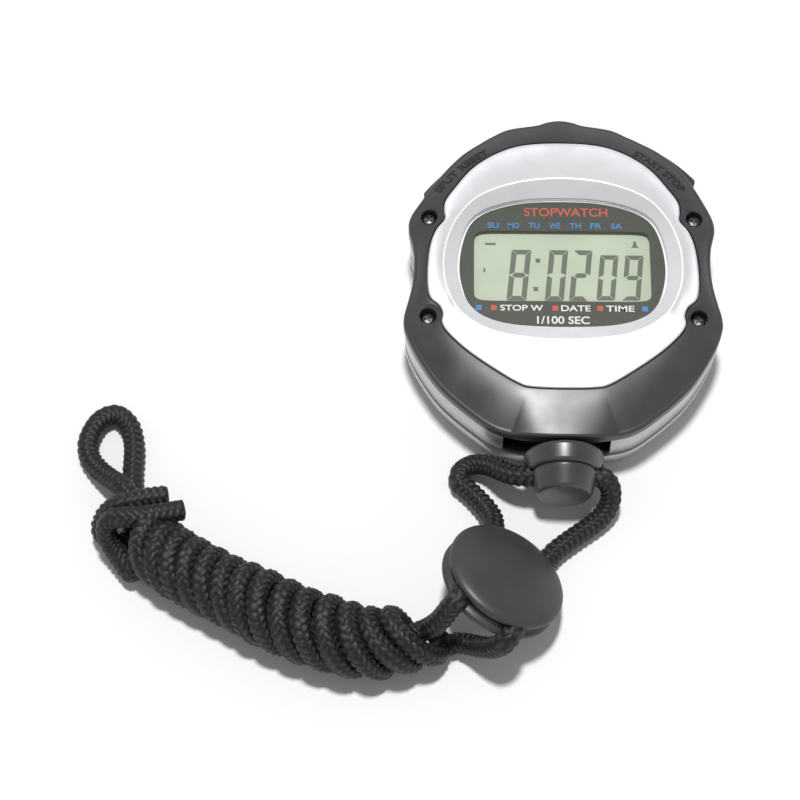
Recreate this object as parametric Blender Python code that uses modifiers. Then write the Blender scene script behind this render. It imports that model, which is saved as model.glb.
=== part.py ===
"""Handheld digital stopwatch with a neck cord, lying on its back with the display facing up.

Metres, +Z up, +Y towards the mode button (12 o'clock), +X to the right of the display.
The case is drawn around the centre of its lens, and one empty moves it to the part's own origin.
"""
import math

import bmesh
import bpy
import numpy as np
from mathutils import Matrix, Vector

MM = 0.001
GAP = 0.3 * MM                      # clearance between pieces that touch
CASE_CENTRE = (0.0, 5.4 * MM, 0.0)  # the lens centre, seen from the middle of the part's base

# heights of the case's layers, from the table up
BACK_FLOOR = 1.6 * MM
BACK_TOP = 4.9 * MM
GASKET_BOTTOM = 5.2 * MM
GASKET_TOP = 5.8 * MM
MID_BOTTOM = 6.1 * MM
MID_TOP = 12.2 * MM
BEZEL_BOTTOM = 12.5 * MM
BEZEL_UNDERSIDE = 14.3 * MM
BEZEL_LEDGE = 15.9 * MM
BEZEL_RIM = 15.0 * MM               # top of the bezel at its outer edge
BEZEL_TOP = 17.3 * MM               # top of the bezel beside the face plate
PLATE_UNDERSIDE = 16.2 * MM
PLATE_TOP = 17.5 * MM
# the ridge round the lens and the dish inside it, at 12 o'clock, at the sides and at 6 o'clock
RIDGE_HEIGHTS = (19.1 * MM, 18.2 * MM, 17.6 * MM)
DISH_HEIGHTS = (16.6 * MM, 16.9 * MM, 17.1 * MM)
LENS_LEDGE = 15.4 * MM
LENS_FLANGE = 14.8 * MM
LENS_BOTTOM = 15.7 * MM
LENS_TOP = 16.6 * MM
BOARD_BOTTOM = 8.6 * MM
BOARD_TOP = 9.8 * MM

WALL = 1.8 * MM                     # case wall thickness
BAND_INSET = 0.3 * MM               # middle case and back cover stand this far inside the bezel
# arched collar over the crown, at its back and its front: distance, half width, height of its crest
COLLAR_BACK = (-27.5 * MM, 7.5 * MM, 17.3 * MM)
COLLAR_FRONT = (-37.5 * MM, 12.3 * MM, 16.1 * MM)
BULGE = (44.0, 24.0, 1.1 * MM)      # the right shoulder: direction, half angle in degrees, rise

# right halves of the plan outlines, 12 o'clock to 6 o'clock, in millimetres round the lens centre
CASE_HALF = ((0, 36.0), (2.6, 35.6), (4.8, 34.8), (10.6, 33.7), (14.2, 31.8), (16.4, 30.3),
             (20.4, 27.2), (24.7, 22.2), (28.5, 16.4), (30.8, 12.4), (31.2, 9.4), (30.3, 5.2),
             (30.0, 0.8), (30.3, -3.6), (31.1, -7.4), (31.9, -11.0), (31.6, -14.0),
             (29.4, -19.2), (25.0, -26.0), (19.0, -31.8), (13.4, -35.7), (7.0, -37.1), (0, -37.5))
PLATE_HALF = ((0, 28.9), (6.0, 28.6), (10.4, 27.6), (14.8, 25.4), (18.6, 22.3), (21.8, 18.0),
              (23.7, 14.9), (24.0, 12.6), (23.9, 10.5), (25.6, 8.0), (26.7, 4.6), (27.2, 0.0),
              (27.2, -4.6), (26.6, -7.6), (24.8, -9.4), (24.1, -11.3), (24.2, -13.4),
              (22.6, -16.0), (18.6, -19.9), (12.8, -24.2), (8.8, -26.7), (6.2, -27.4), (0, -27.6))
RIDGE_HALF = ((0, 19.5), (8.7, 18.6), (16.4, 15.7), (20.9, 11.0), (23.4, 5.3), (24.1, -0.6),
              (23.2, -6.1), (20.3, -11.4), (14.4, -15.2), (7.0, -16.7), (0, -17.1))
LENS_HALF = ((0, 15.9), (7.0, 15.6), (12.4, 14.4), (16.4, 12.6), (18.9, 9.9), (20.4, 5.4),
             (20.95, 0.2), (20.4, -4.2), (18.9, -8.3), (15.7, -11.4), (10.0, -13.2), (0, -13.7))
BOARD_HALF = ((0, 23.5), (11.0, 21.5), (18.5, 15.5), (21.8, 5.0), (21.8, -6.0), (19.5, -15.0),
              (11.0, -21.5), (0, -23.5))

# radial cuts shared by every layer, closer together round the four screw lugs
LUG_STEPS = (15, 21, 27, 33)
ANGLES = sorted({*range(0, 360, 6), *LUG_STEPS, *(180 - a for a in LUG_STEPS),
                 *(180 + a for a in LUG_STEPS), *(360 - a for a in LUG_STEPS)})
GASKET_ANGLES = tuple(range(0, 360, 6))

SCREW_X = 27.05 * MM
SCREW_Y = (11.6 * MM, -11.4 * MM)
SCREW_HEAD = (1.45 * MM, 1.1 * MM)        # radius, height
SCREW_SHANK = 0.8 * MM
SCREW_SEAT = 14.0 * MM
SCREW_TIP = 2.6 * MM
SCREW_RECESS = 1.75 * MM
SCREW_HOLE = 1.12 * MM
BOSS = 3.1 * MM

BOARD_SCREWS = ((-17.5 * MM, -13.4 * MM), (17.5 * MM, -13.4 * MM), (0.0, 16.6 * MM))

DISPLAY_Y = 1.2 * MM                      # centre of the display, up from the lens centre
GLASS = (38.0 * MM, 19.0 * MM, 1.0 * MM)
GLASS_FRONT_Z = 13.95 * MM
GLASS_REAR_Z = 12.65 * MM

CELL_CENTRE = (0.0, -13.0 * MM)
CELL = (5.8 * MM, 5.4 * MM)               # radius, thickness of the button cell
CELL_BOTTOM = 2.4 * MM
BUZZER_CENTRE = (0.0, 9.0 * MM)
BUZZER = (10.0 * MM, 0.3 * MM)

# direction in degrees, radius of the wall, half width, reach past the wall
BUTTONS = {"start_stop": (49, 33.9, 6.0, 3.2), "split_reset": (135, 32.8, 6.0, 2.0),
           "mode": (90, 34.6, 3.3, 1.7)}
BUTTON_Z = (7.0 * MM, 11.4 * MM)
BUTTON_FLANGE_Z = (6.6 * MM, 11.8 * MM)
BUTTON_SIDE_GAP = 0.35 * MM
PLUNGER = (1.2 * MM, 2.4 * MM, (8.0 * MM, 10.2 * MM))   # half width, length, lower and upper face

NOTCH_X = (-12.0 * MM, 9.2 * MM)          # opening in the middle case that the crown's mount fills
CROWN_Z = 9.0 * MM
CROWN_BACK = -38.4 * MM
CROWN_SOCKET = (3.3 * MM, 1.1 * MM)
# crown outline from its back face to its free end: radius, distance, in millimetres
CROWN_PROFILE = ((0, 0), (7.2, 0), (7.8, 0.3), (7.95, 0.9), (7.35, 3.5), (6.9, 4.1), (6.2, 4.15),
                 (6.2, 4.4), (6.6, 4.45), (5.5, 8.2), (4.95, 8.7), (0, 8.7))
CROWN_STEM = 3.0 * MM
MOUNT_Y = (-33.2 * MM, -31.4 * MM)        # the block behind the opening, outer and inner face
CROWN_HOLE = 2.55 * MM
CROWN_HOLE_Y = -42.7 * MM
CROWN_HOLE_Z = 8.8 * MM

CORD_D = 4.4 * MM
CORD_STEP = 0.6 * CORD_D                  # distance between the points of a cord's route
# the slider's own axes: through its bores, then out of its domed face
SLIDER_CENTRE = (-12.2 * MM, -65.6 * MM, 10.5 * MM)
SLIDER_BORE_AXIS = (-0.309, -0.814, 0.491)
SLIDER_NORMAL = (0.454, 0.325, 0.829)
SLIDER_BORE = 2.7 * MM
SLIDER_BORE_OFFSET = (6.05 * MM, -0.5 * MM)   # to each side of the middle, and below the parting plane
# outline of each half from the middle of its face to the parting groove: radius, height, in millimetres
SLIDER_HALF = ((0, 4.2), (3.5, 4.1), (7.0, 3.8), (9.6, 3.3), (11.0, 2.75), (11.85, 2.15), (12.2, 1.6),
               (11.9, 1.1), (11.4, 0.7), (11.2, 0.15), (0, 0.15))

# routes in millimetres round the lens centre: the bores' own points are worked out
LEFT_TO_SLIDER = ((-0.4, -42.7, 8.8), (-4.0, -42.7, 8.8), (-8.0, -42.75, 8.7), (-11.0, -41.6, 7.4),
                  (-14.2, -39.0, 4.9), (-17.4, -37.9, 3.2), (-20.0, -39.0, 2.4), (-20.4, -41.4, 2.3),
                  (-18.4, -43.4, 2.4), (-16.5, -45.5, 2.6), (-14.9, -47.6, 2.9), (-13.9, -49.9, 4.0))
LEFT_TO_HANK = ((-22.3, -73.3, 16.1), (-24.0, -74.7, 13.6), (-25.5, -75.1, 11.6), (-26.6, -75.1, 10.4))
RIGHT_TO_SLIDER = ((0.4, -42.7, 8.8), (4.0, -42.7, 8.8), (7.2, -42.8, 8.7), (9.2, -44.2, 6.8),
                   (9.1, -46.6, 4.1), (7.2, -49.2, 2.6), (4.0, -51.7, 2.3), (0.8, -54.1, 2.3),
                   (-1.9, -56.4, 2.3))
RIGHT_TO_HANK = ((-12.2, -79.0, 12.9), (-14.4, -78.6, 9.2), (-17.2, -76.9, 5.3), (-20.5, -75.5, 3.0),
                 (-23.6, -75.7, 2.4), (-27.6, -76.2, 2.4))
# middle line of the wound hank and its knotted end, with the outer radius: x, y, radius
HANK = ((-29.2, -75.4, 6.7), (-32.4, -76.5, 7.0), (-35.9, -77.1, 7.3), (-41.4, -76.6, 7.6),
        (-45.5, -75.5, 7.7), (-50.4, -73.9, 7.6), (-54.9, -71.9, 7.5), (-60.9, -69.0, 7.3),
        (-65.7, -66.6, 7.1), (-70.2, -64.2, 7.0), (-75.1, -61.4, 7.0), (-79.2, -58.4, 7.1),
        (-81.9, -54.8, 7.2), (-83.1, -50.8, 6.9), (-83.6, -47.0, 5.8))
END_LOOP = ((-85.0, -46.0, 3.6), (-85.4, -42.6, 2.9), (-85.7, -38.6, 2.4), (-85.9, -34.4, 2.3),
            (-87.2, -30.2, 2.3), (-90.0, -28.2, 2.3), (-93.0, -29.6, 2.3), (-94.8, -33.4, 2.3),
            (-94.0, -37.4, 2.6), (-91.9, -40.6, 4.0), (-89.4, -43.6, 6.2))

COLOURS = {
    "silver_case": ((0.46, 0.47, 0.48), 0.35, 0.6), "silver_plate": ((0.78, 0.78, 0.80), 0.3, 0.6),
    "black_bezel": ((0.07, 0.075, 0.08), 0.38, 0.0), "rubber": ((0.02, 0.02, 0.02), 0.8, 0.0),
    "lens": ((0.08, 0.09, 0.07), 0.08, 0.0), "lcd_glass": ((0.55, 0.62, 0.47), 0.15, 0.0),
    "white_plastic": ((0.75, 0.75, 0.72), 0.5, 0.0), "zebra": ((0.25, 0.22, 0.3), 0.7, 0.0),
    "board": ((0.08, 0.22, 0.08), 0.5, 0.0), "epoxy": ((0.01, 0.01, 0.01), 0.3, 0.0),
    "steel": ((0.6, 0.6, 0.6), 0.25, 1.0), "dark_steel": ((0.12, 0.12, 0.13), 0.35, 1.0),
    "brass": ((0.75, 0.55, 0.2), 0.3, 1.0), "ceramic": ((0.7, 0.68, 0.6), 0.5, 0.0),
    "button": ((0.06, 0.065, 0.07), 0.5, 0.0), "slider": ((0.06, 0.065, 0.07), 0.45, 0.0),
    "cord": ((0.02, 0.02, 0.025), 0.85, 0.0)}


# ---------------------------------------------------------------- scene and objects

def clear_scene():
    for obj in list(bpy.data.objects):
        bpy.data.objects.remove(obj, do_unlink=True)


def new_collection(name):
    group = bpy.data.collections.new(name)
    bpy.context.scene.collection.children.link(group)
    return group


def make_materials():
    made = {}
    for name, (colour, roughness, metallic) in COLOURS.items():
        mat = bpy.data.materials.new(name)
        mat.use_nodes = True
        shader = mat.node_tree.nodes["Principled BSDF"]
        shader.inputs["Base Color"].default_value = (*colour, 1.0)
        shader.inputs["Roughness"].default_value = roughness
        shader.inputs["Metallic"].default_value = metallic
        made[name] = mat
    return made


clear_scene()
PARTS = new_collection("stopwatch")
CUTTERS = new_collection("cutters")
MATERIALS = make_materials()


def case_origin():
    """The empty at the lens centre that carries every piece."""
    empty = bpy.data.objects.new("lens_centre", None)
    empty.location = CASE_CENTRE
    PARTS.objects.link(empty)
    return empty


ORIGIN = case_origin()


def place(obj, name, material, location=(0, 0, 0), rotation=None):
    """Name a new piece, give it its material and hang it on the lens centre."""
    obj.name = name
    obj.data.name = name
    obj.data.materials.append(MATERIALS[material])
    PARTS.objects.link(obj)
    obj.parent = ORIGIN
    obj.location = location
    if rotation is not None:
        obj.rotation_mode = "QUATERNION"
        obj.rotation_quaternion = rotation
    return obj


def smooth(mesh, angle=35):
    mesh.shade_smooth()
    mesh.set_sharp_from_angle(angle=math.radians(angle))


def object_from(bm, name, material, location=(0, 0, 0), rotation=None):
    bmesh.ops.recalc_face_normals(bm, faces=bm.faces)
    mesh = bpy.data.meshes.new(name)
    bm.to_mesh(mesh)
    bm.free()
    smooth(mesh)
    return place(bpy.data.objects.new(name, mesh), name, material, location, rotation)


def add_box(bm, low, high):
    """A box between two corners."""
    low, high = Vector(low), Vector(high)
    size = high - low
    matrix = Matrix.Translation((low + high) / 2) @ Matrix.Diagonal((*size, 1))
    return bmesh.ops.create_cube(bm, size=1.0, matrix=matrix)


def add_cylinder(bm, radius, low, high, centre=(0, 0), sides=16, top_radius=None):
    """An upright cylinder or cone between two heights."""
    top = radius if top_radius is None else top_radius
    matrix = Matrix.Translation((centre[0], centre[1], (low + high) / 2))
    return bmesh.ops.create_cone(bm, cap_ends=True, segments=sides, radius1=radius, radius2=top,
                                 depth=high - low, matrix=matrix)


def box_piece(name, material, low, high):
    bm = bmesh.new()
    add_box(bm, low, high)
    return object_from(bm, name, material)


def cylinder_piece(name, material, radius, low, high, centre=(0, 0), sides=24):
    bm = bmesh.new()
    add_cylinder(bm, radius, low, high, centre, sides)
    return object_from(bm, name, material)


def cutter_from(bm, name, matrix=None):
    """A hidden wire object that Boolean modifiers use."""
    bmesh.ops.recalc_face_normals(bm, faces=bm.faces)
    mesh = bpy.data.meshes.new(name)
    bm.to_mesh(mesh)
    bm.free()
    obj = bpy.data.objects.new(name, mesh)
    CUTTERS.objects.link(obj)
    obj.parent = ORIGIN
    if matrix is not None:
        obj.matrix_local = matrix
    obj.hide_render = True
    obj.display_type = "WIRE"
    return obj


def boolean(obj, cutter, operation="DIFFERENCE"):
    mod = obj.modifiers.new(cutter.name, "BOOLEAN")
    mod.operation = operation
    mod.solver = "EXACT"
    mod.object = cutter
    return mod


def turned(name, material, profile, steps, location=(0, 0, 0), rotation=None):
    """A solid of revolution about Z from (radius, height) pairs, listed from top to bottom."""
    mesh = bpy.data.meshes.new(name)
    points = [(radius, 0.0, height) for radius, height in profile]
    edges = [(i, i + 1) for i in range(len(points) - 1)]
    mesh.from_pydata(points, edges, [])
    obj = place(bpy.data.objects.new(name, mesh), name, material, location, rotation)
    mod = obj.modifiers.new("turn", "SCREW")
    mod.steps = steps
    mod.render_steps = steps
    mod.use_merge_vertices = True
    mod.merge_threshold = 0.00001
    mod.use_smooth_shade = True
    return obj


def extruded(name, material, outline, low, high, matrix):
    """A flat outline given in the matrix's own X and Y, extruded between two heights."""
    curve = bpy.data.curves.new(name, "CURVE")
    curve.dimensions = "2D"
    curve.fill_mode = "BOTH"
    curve.extrude = (high - low) / 2
    spline = curve.splines.new("POLY")
    spline.points.add(len(outline) - 1)
    for point, (x, y) in zip(spline.points, outline):
        point.co = (x, y, 0.0, 1.0)
    spline.use_cyclic_u = True
    obj = place(bpy.data.objects.new(name, curve), name, material)
    obj.matrix_local = matrix @ Matrix.Translation((0, 0, (low + high) / 2))
    return obj


def tube(name, material, points, radius, sides_level=3, radii=None):
    """A round bar along the given points, with filled ends."""
    curve = bpy.data.curves.new(name, "CURVE")
    curve.dimensions = "3D"
    curve.bevel_depth = radius
    curve.bevel_resolution = sides_level
    curve.use_fill_caps = True
    spline = curve.splines.new("POLY")
    spline.points.add(len(points) - 1)
    for index, (point, place_at) in enumerate(zip(spline.points, points)):
        point.co = (*place_at, 1.0)
        point.radius = 1.0 if radii is None else radii[index]
    return place(bpy.data.objects.new(name, curve), name, material)


# ---------------------------------------------------------------- smooth outlines and lofts

def catmull_rom(points, closed, per_span=16):
    """Points along a smooth curve through the given ones."""
    pts = np.array(points, dtype=float)
    if closed:
        pts = np.vstack([pts[-1], pts, pts[0], pts[1]])
    else:
        pts = np.vstack([2 * pts[0] - pts[1], pts, 2 * pts[-1] - pts[-2]])
    t = np.linspace(0.0, 1.0, per_span, endpoint=False)[:, None]
    out = []
    for a, b, c, d in zip(pts[:-3], pts[1:-2], pts[2:-1], pts[3:]):
        out.append(0.5 * (2 * b + (c - a) * t + (2 * a - 5 * b + 4 * c - d) * t ** 2
                          + (3 * b - a - 3 * c + d) * t ** 3))
    if not closed:
        out.append(pts[-2][None, :])
    return np.vstack(out)


def even_path(points, spacing):
    """A smooth route resampled at about an even spacing."""
    fine = catmull_rom(points, closed=False)
    steps = np.linalg.norm(np.diff(fine, axis=0), axis=1)
    along = np.concatenate([[0.0], np.cumsum(steps)])
    count = max(2, round(along[-1] / spacing)) + 1
    wanted = np.linspace(0.0, along[-1], count)
    return np.stack([np.interp(wanted, along, fine[:, k]) for k in range(fine.shape[1])], axis=1)


def outline_radii(half, angles=ANGLES):
    """Radius of a mirrored half outline at each of the shared angles, in metres."""
    left = [(-x, y) for x, y in half[-2:0:-1]]
    curve = catmull_rom(list(half) + left, closed=True) * MM
    theta = np.degrees(np.arctan2(curve[:, 1], curve[:, 0])) % 360.0
    order = np.argsort(theta)
    radius = np.hypot(curve[:, 0], curve[:, 1])
    return np.interp(angles, theta[order], radius[order], period=360.0)


def ring(radii, height, angles=ANGLES):
    """One closed ring of points at a height, or at one height per point."""
    heights = np.broadcast_to(height, len(angles))
    return [Vector((r * math.cos(math.radians(a)), r * math.sin(math.radians(a)), z))
            for r, a, z in zip(radii, angles, heights)]


def loft(name, material, rings, hollow):
    """Skin a stack of rings. A hollow loft joins its last ring to its first one."""
    bm = bmesh.new()
    loops = [[bm.verts.new(point) for point in points] for points in rings]
    pairs = list(zip(loops, loops[1:]))
    if hollow:
        pairs.append((loops[-1], loops[0]))
    else:
        bm.faces.new(loops[0])
        bm.faces.new(loops[-1])
    count = len(loops[0])
    for low, high in pairs:
        for i in range(count):
            j = (i + 1) % count
            bm.faces.new((low[i], low[j], high[j], high[i]))
    return object_from(bm, name, material)


def case_radii(angles):
    """The case's outline: its mirrored half and the extra swell of the right shoulder."""
    middle, reach, rise = BULGE
    share = np.clip(1.0 - ((np.array(angles) - middle) / reach) ** 2, 0.0, 1.0)
    return outline_radii(CASE_HALF, angles) + rise * share ** 1.5


def round_the_lens(heights, angles=ANGLES):
    """Heights that change smoothly from 12 o'clock over the sides to 6 o'clock."""
    top, sides, bottom = heights
    up = np.sin(np.radians(angles))
    return sides + (top - sides) * np.clip(up, 0, 1) ** 1.5 + (bottom - sides) * np.clip(-up, 0, 1) ** 1.5


CASE = case_radii(ANGLES)
PLATE = outline_radii(PLATE_HALF)
RIDGE = outline_radii(RIDGE_HALF)
LENS = outline_radii(LENS_HALF)


# ---------------------------------------------------------------- case shells

def collar_height(x, y):
    """Height of the arched collar that swells out of the bezel above the crown."""
    (back, back_half, back_top), (front, front_half, front_top) = COLLAR_BACK, COLLAR_FRONT
    share = min(1.0, max(0.0, (y - back) / (front - back)))
    half = back_half + share * (front_half - back_half)
    if y > back or abs(x) >= half:
        return 0.0
    rise = back_top + share * (front_top - back_top) - BEZEL_BOTTOM
    return BEZEL_BOTTOM + rise * math.sqrt(1.0 - (x / half) ** 2)


def bezel_slope(share):
    """A ring on the bezel's sloping top, from the plate's edge (0) to the outer edge (1)."""
    radii = PLATE + GAP + share * (CASE - 0.5 * MM - PLATE - GAP)
    flat = BEZEL_TOP + share * (BEZEL_RIM - BEZEL_TOP)
    points = ring(radii, flat)
    for point in points:
        point.z = max(point.z, collar_height(point.x, point.y))
    return points


def make_bezel():
    ledge = LENS + 2.0 * MM
    rim = bezel_slope(1.0)
    shoulder = ring(CASE, [point.z - 0.6 * MM for point in rim])
    rings = [bezel_slope(0.0), bezel_slope(0.35), bezel_slope(0.7), rim, shoulder,
             ring(CASE, BEZEL_BOTTOM), ring(CASE - WALL, BEZEL_BOTTOM),
             ring(CASE - WALL, BEZEL_UNDERSIDE), ring(ledge, BEZEL_UNDERSIDE),
             ring(ledge, BEZEL_LEDGE), ring(PLATE + GAP, BEZEL_LEDGE)]
    bezel = loft("bezel", "black_bezel", rings, hollow=True)
    bosses = bmesh.new()
    holes = bmesh.new()
    for centre in screw_centres():
        add_cylinder(bosses, BOSS, BEZEL_BOTTOM, BEZEL_UNDERSIDE + 0.2 * MM, centre, 18)
        add_cylinder(holes, SCREW_RECESS, SCREW_SEAT, BEZEL_TOP + MM, centre, 18)
        add_cylinder(holes, SCREW_HOLE, BEZEL_BOTTOM - MM, SCREW_SEAT + 0.1 * MM, centre, 10)
    boolean(bezel, cutter_from(bosses, "bezel_bosses"), "UNION")
    wells = cutter_from(holes, "bezel_screw_wells")
    boolean(bezel, wells).use_self = True


def screw_centres():
    return [(side * SCREW_X, y) for y in SCREW_Y for side in (-1, 1)]


def make_face_plate():
    inner = LENS + 0.35 * MM
    flange = LENS + 1.4 * MM
    ridge_top = round_the_lens(RIDGE_HEIGHTS)
    rings = [ring(PLATE, PLATE_UNDERSIDE), ring(PLATE, BEZEL_TOP), ring(PLATE - 0.4 * MM, PLATE_TOP),
             ring(0.35 * PLATE + 0.65 * RIDGE, 0.6 * PLATE_TOP + 0.4 * ridge_top),
             ring(RIDGE, ridge_top), ring(inner, round_the_lens(DISH_HEIGHTS)),
             ring(inner, LENS_LEDGE), ring(LENS - 1.2 * MM, LENS_LEDGE),
             ring(LENS - 1.2 * MM, LENS_FLANGE), ring(flange, LENS_FLANGE),
             ring(flange, PLATE_UNDERSIDE)]
    loft("face_plate", "silver_plate", rings, hollow=True)


def make_lens():
    rings = [ring(LENS, LENS_BOTTOM), ring(LENS, LENS_TOP - 0.25 * MM),
             ring(LENS - 0.3 * MM, LENS_TOP)]
    loft("lens_window", "lens", rings, hollow=False)


def button_window(bm, angle, wall_radius, half_width):
    """The opening that one button slides through."""
    turn = Matrix.Rotation(math.radians(angle - 90), 4, "Z")
    low = (-half_width - BUTTON_SIDE_GAP, (wall_radius - 6.0) * MM, BUTTON_Z[0] - BUTTON_SIDE_GAP)
    high = (half_width + BUTTON_SIDE_GAP, (wall_radius + 4.0) * MM, BUTTON_Z[1] + BUTTON_SIDE_GAP)
    made = add_box(bm, low, high)
    bmesh.ops.transform(bm, matrix=turn, verts=made["verts"])


def make_mid_case():
    outer = CASE - BAND_INSET
    inner = outer - WALL
    rings = [ring(outer, MID_BOTTOM), ring(outer, MID_TOP), ring(inner, MID_TOP),
             ring(inner, MID_BOTTOM)]
    band = loft("mid_case", "silver_case", rings, hollow=True)
    bosses = bmesh.new()
    holes = bmesh.new()
    for centre in screw_centres():
        add_cylinder(bosses, BOSS, MID_BOTTOM, MID_TOP, centre, 18)
        add_cylinder(holes, SCREW_HOLE, MID_BOTTOM - MM, MID_TOP + MM, centre, 10)
    for angle, wall_radius, half_width, _ in BUTTONS.values():
        button_window(holes, angle, wall_radius, half_width * MM)
    add_box(holes, (NOTCH_X[0], -40 * MM, MID_BOTTOM - MM), (NOTCH_X[1], -32 * MM, MID_TOP + MM))
    boolean(band, cutter_from(bosses, "mid_case_bosses"), "UNION")
    boolean(band, cutter_from(holes, "mid_case_openings"))


def make_gasket():
    outer = case_radii(GASKET_ANGLES) - BAND_INSET - 0.6 * MM
    inner = outer - 0.9 * MM
    angles = GASKET_ANGLES
    rings = [ring(outer, GASKET_BOTTOM, angles), ring(outer, GASKET_TOP, angles),
             ring(inner, GASKET_TOP, angles), ring(inner, GASKET_BOTTOM, angles)]
    loft("case_gasket", "rubber", rings, hollow=True)


def make_back_cover():
    outer = CASE - BAND_INSET
    inner = outer - WALL
    rings = [ring(outer - 2.4 * MM, 0.0), ring(outer - 1.0 * MM, 0.5 * MM),
             ring(outer - 0.25 * MM, 1.7 * MM), ring(outer, 3.0 * MM), ring(outer, BACK_TOP),
             ring(inner, BACK_TOP), ring(inner, BACK_FLOOR)]
    cover = loft("back_cover", "silver_case", rings, hollow=False)
    bosses = bmesh.new()
    holes = bmesh.new()
    for centre in screw_centres():
        add_cylinder(bosses, BOSS, 1.3 * MM, BACK_TOP, centre, 18)
        add_cylinder(holes, SCREW_HOLE, SCREW_TIP - GAP, BACK_TOP + MM, centre, 10)
    boolean(cover, cutter_from(bosses, "back_cover_bosses"), "UNION")
    boolean(cover, cutter_from(holes, "back_cover_screw_holes"))


# ---------------------------------------------------------------- display and electronics

def display_box(name, material, size_x, size_y, low, high, centre_y=DISPLAY_Y):
    half_x, half_y = size_x / 2, size_y / 2
    return box_piece(name, material, (-half_x, centre_y - half_y, low),
                     (half_x, centre_y + half_y, high))


def make_display():
    wide, deep, thick = GLASS
    for name, middle in (("lcd_front_glass", GLASS_FRONT_Z), ("lcd_rear_glass", GLASS_REAR_Z)):
        display_box(name, "lcd_glass", wide, deep, middle - thick / 2, middle + thick / 2)
    reflector_top = GLASS_REAR_Z - thick / 2 - GAP
    display_box("lcd_reflector", "steel", 36 * MM, 13 * MM, reflector_top - GAP, reflector_top)
    for name, side in (("zebra_strip_upper", 1), ("zebra_strip_lower", -1)):
        display_box(name, "zebra", 34 * MM, 1.8 * MM, BOARD_TOP + GAP, reflector_top,
                    DISPLAY_Y + side * 8.2 * MM)


def make_display_holder():
    low, high = BOARD_TOP + GAP, 13.8 * MM
    holder = display_box("lcd_holder", "white_plastic", 42 * MM, 23 * MM, low, high)
    lugs = bmesh.new()
    for centre in BOARD_SCREWS:
        add_cylinder(lugs, 2.2 * MM, low, 13.0 * MM, centre, 14)
        add_box(lugs, (centre[0] - 1.8 * MM, min(centre[1], DISPLAY_Y), low),
                (centre[0] + 1.8 * MM, max(centre[1], DISPLAY_Y), 12.0 * MM))
    holes = bmesh.new()
    for centre in BOARD_SCREWS:
        add_cylinder(holes, 0.95 * MM, low - MM, 12.4 * MM, centre, 8)
    wide, deep = GLASS[0] / 2 + GAP, GLASS[1] / 2 + GAP
    add_box(holes, (-wide, DISPLAY_Y - deep, low - MM), (wide, DISPLAY_Y + deep, high + MM))
    boolean(holder, cutter_from(lugs, "lcd_holder_lugs"), "UNION").use_self = True
    boolean(holder, cutter_from(holes, "lcd_holder_openings"))


def make_board():
    angles = tuple(range(0, 360, 10))
    edge = outline_radii(BOARD_HALF, angles)
    rings = [ring(edge, BOARD_BOTTOM, angles), ring(edge, BOARD_TOP, angles)]
    board = loft("circuit_board", "board", rings, hollow=False)
    holes = bmesh.new()
    for centre in BOARD_SCREWS:
        add_cylinder(holes, 1.0 * MM, BOARD_BOTTOM - MM, BOARD_TOP + MM, centre, 10)
    boolean(board, cutter_from(holes, "board_holes"))


def make_board_screws():
    for number, centre in enumerate(BOARD_SCREWS, start=1):
        bm = bmesh.new()
        add_cylinder(bm, 1.5 * MM, BOARD_BOTTOM - 1.2 * MM, BOARD_BOTTOM - GAP, centre, 12)
        shank = bmesh.new()
        add_cylinder(shank, 0.6 * MM, BOARD_BOTTOM - 0.6 * MM, 12.0 * MM, centre, 8)
        name = f"board_screw_{number}"
        screw = object_from(bm, name, "steel")
        boolean(screw, cutter_from(shank, name + "_shank"), "UNION")


def make_board_components():
    top = BOARD_BOTTOM - GAP
    dome = ((0, top), (4.6 * MM, top), (4.0 * MM, top - 0.8 * MM), (2.4 * MM, top - 1.4 * MM),
            (0, top - 1.6 * MM))
    turned("chip_blob", "epoxy", dome, 18, location=(-9 * MM, 2 * MM, 0))
    crystal = bmesh.new()
    add_cylinder(crystal, 1.0 * MM, -3.0 * MM, 3.0 * MM, sides=12)
    object_from(crystal, "quartz_crystal", "steel", (12 * MM, 3 * MM, top - MM),
                Vector((0, 1, 0)).to_track_quat("Z", "Y"))


def make_buzzer():
    radius, thick = BUZZER
    low = BACK_FLOOR + GAP
    cylinder_piece("buzzer_plate", "brass", radius, low, low + thick, BUZZER_CENTRE, 28)
    low += thick + GAP
    cylinder_piece("buzzer_ceramic", "ceramic", 7.0 * MM, low, low + thick, BUZZER_CENTRE, 24)
    low += thick + GAP + 0.2 * MM
    turns, per_turn, coil = 4, 8, 1.4 * MM
    count = turns * per_turn
    high = BOARD_BOTTOM - GAP - 0.2 * MM
    points = []
    for step in range(count + 1):
        angle = 2 * math.pi * step / per_turn
        points.append((BUZZER_CENTRE[0] + coil * math.cos(angle),
                       BUZZER_CENTRE[1] + coil * math.sin(angle),
                       low + (high - low) * step / count))
    tube("buzzer_spring", "steel", points, 0.2 * MM, sides_level=1)


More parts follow.
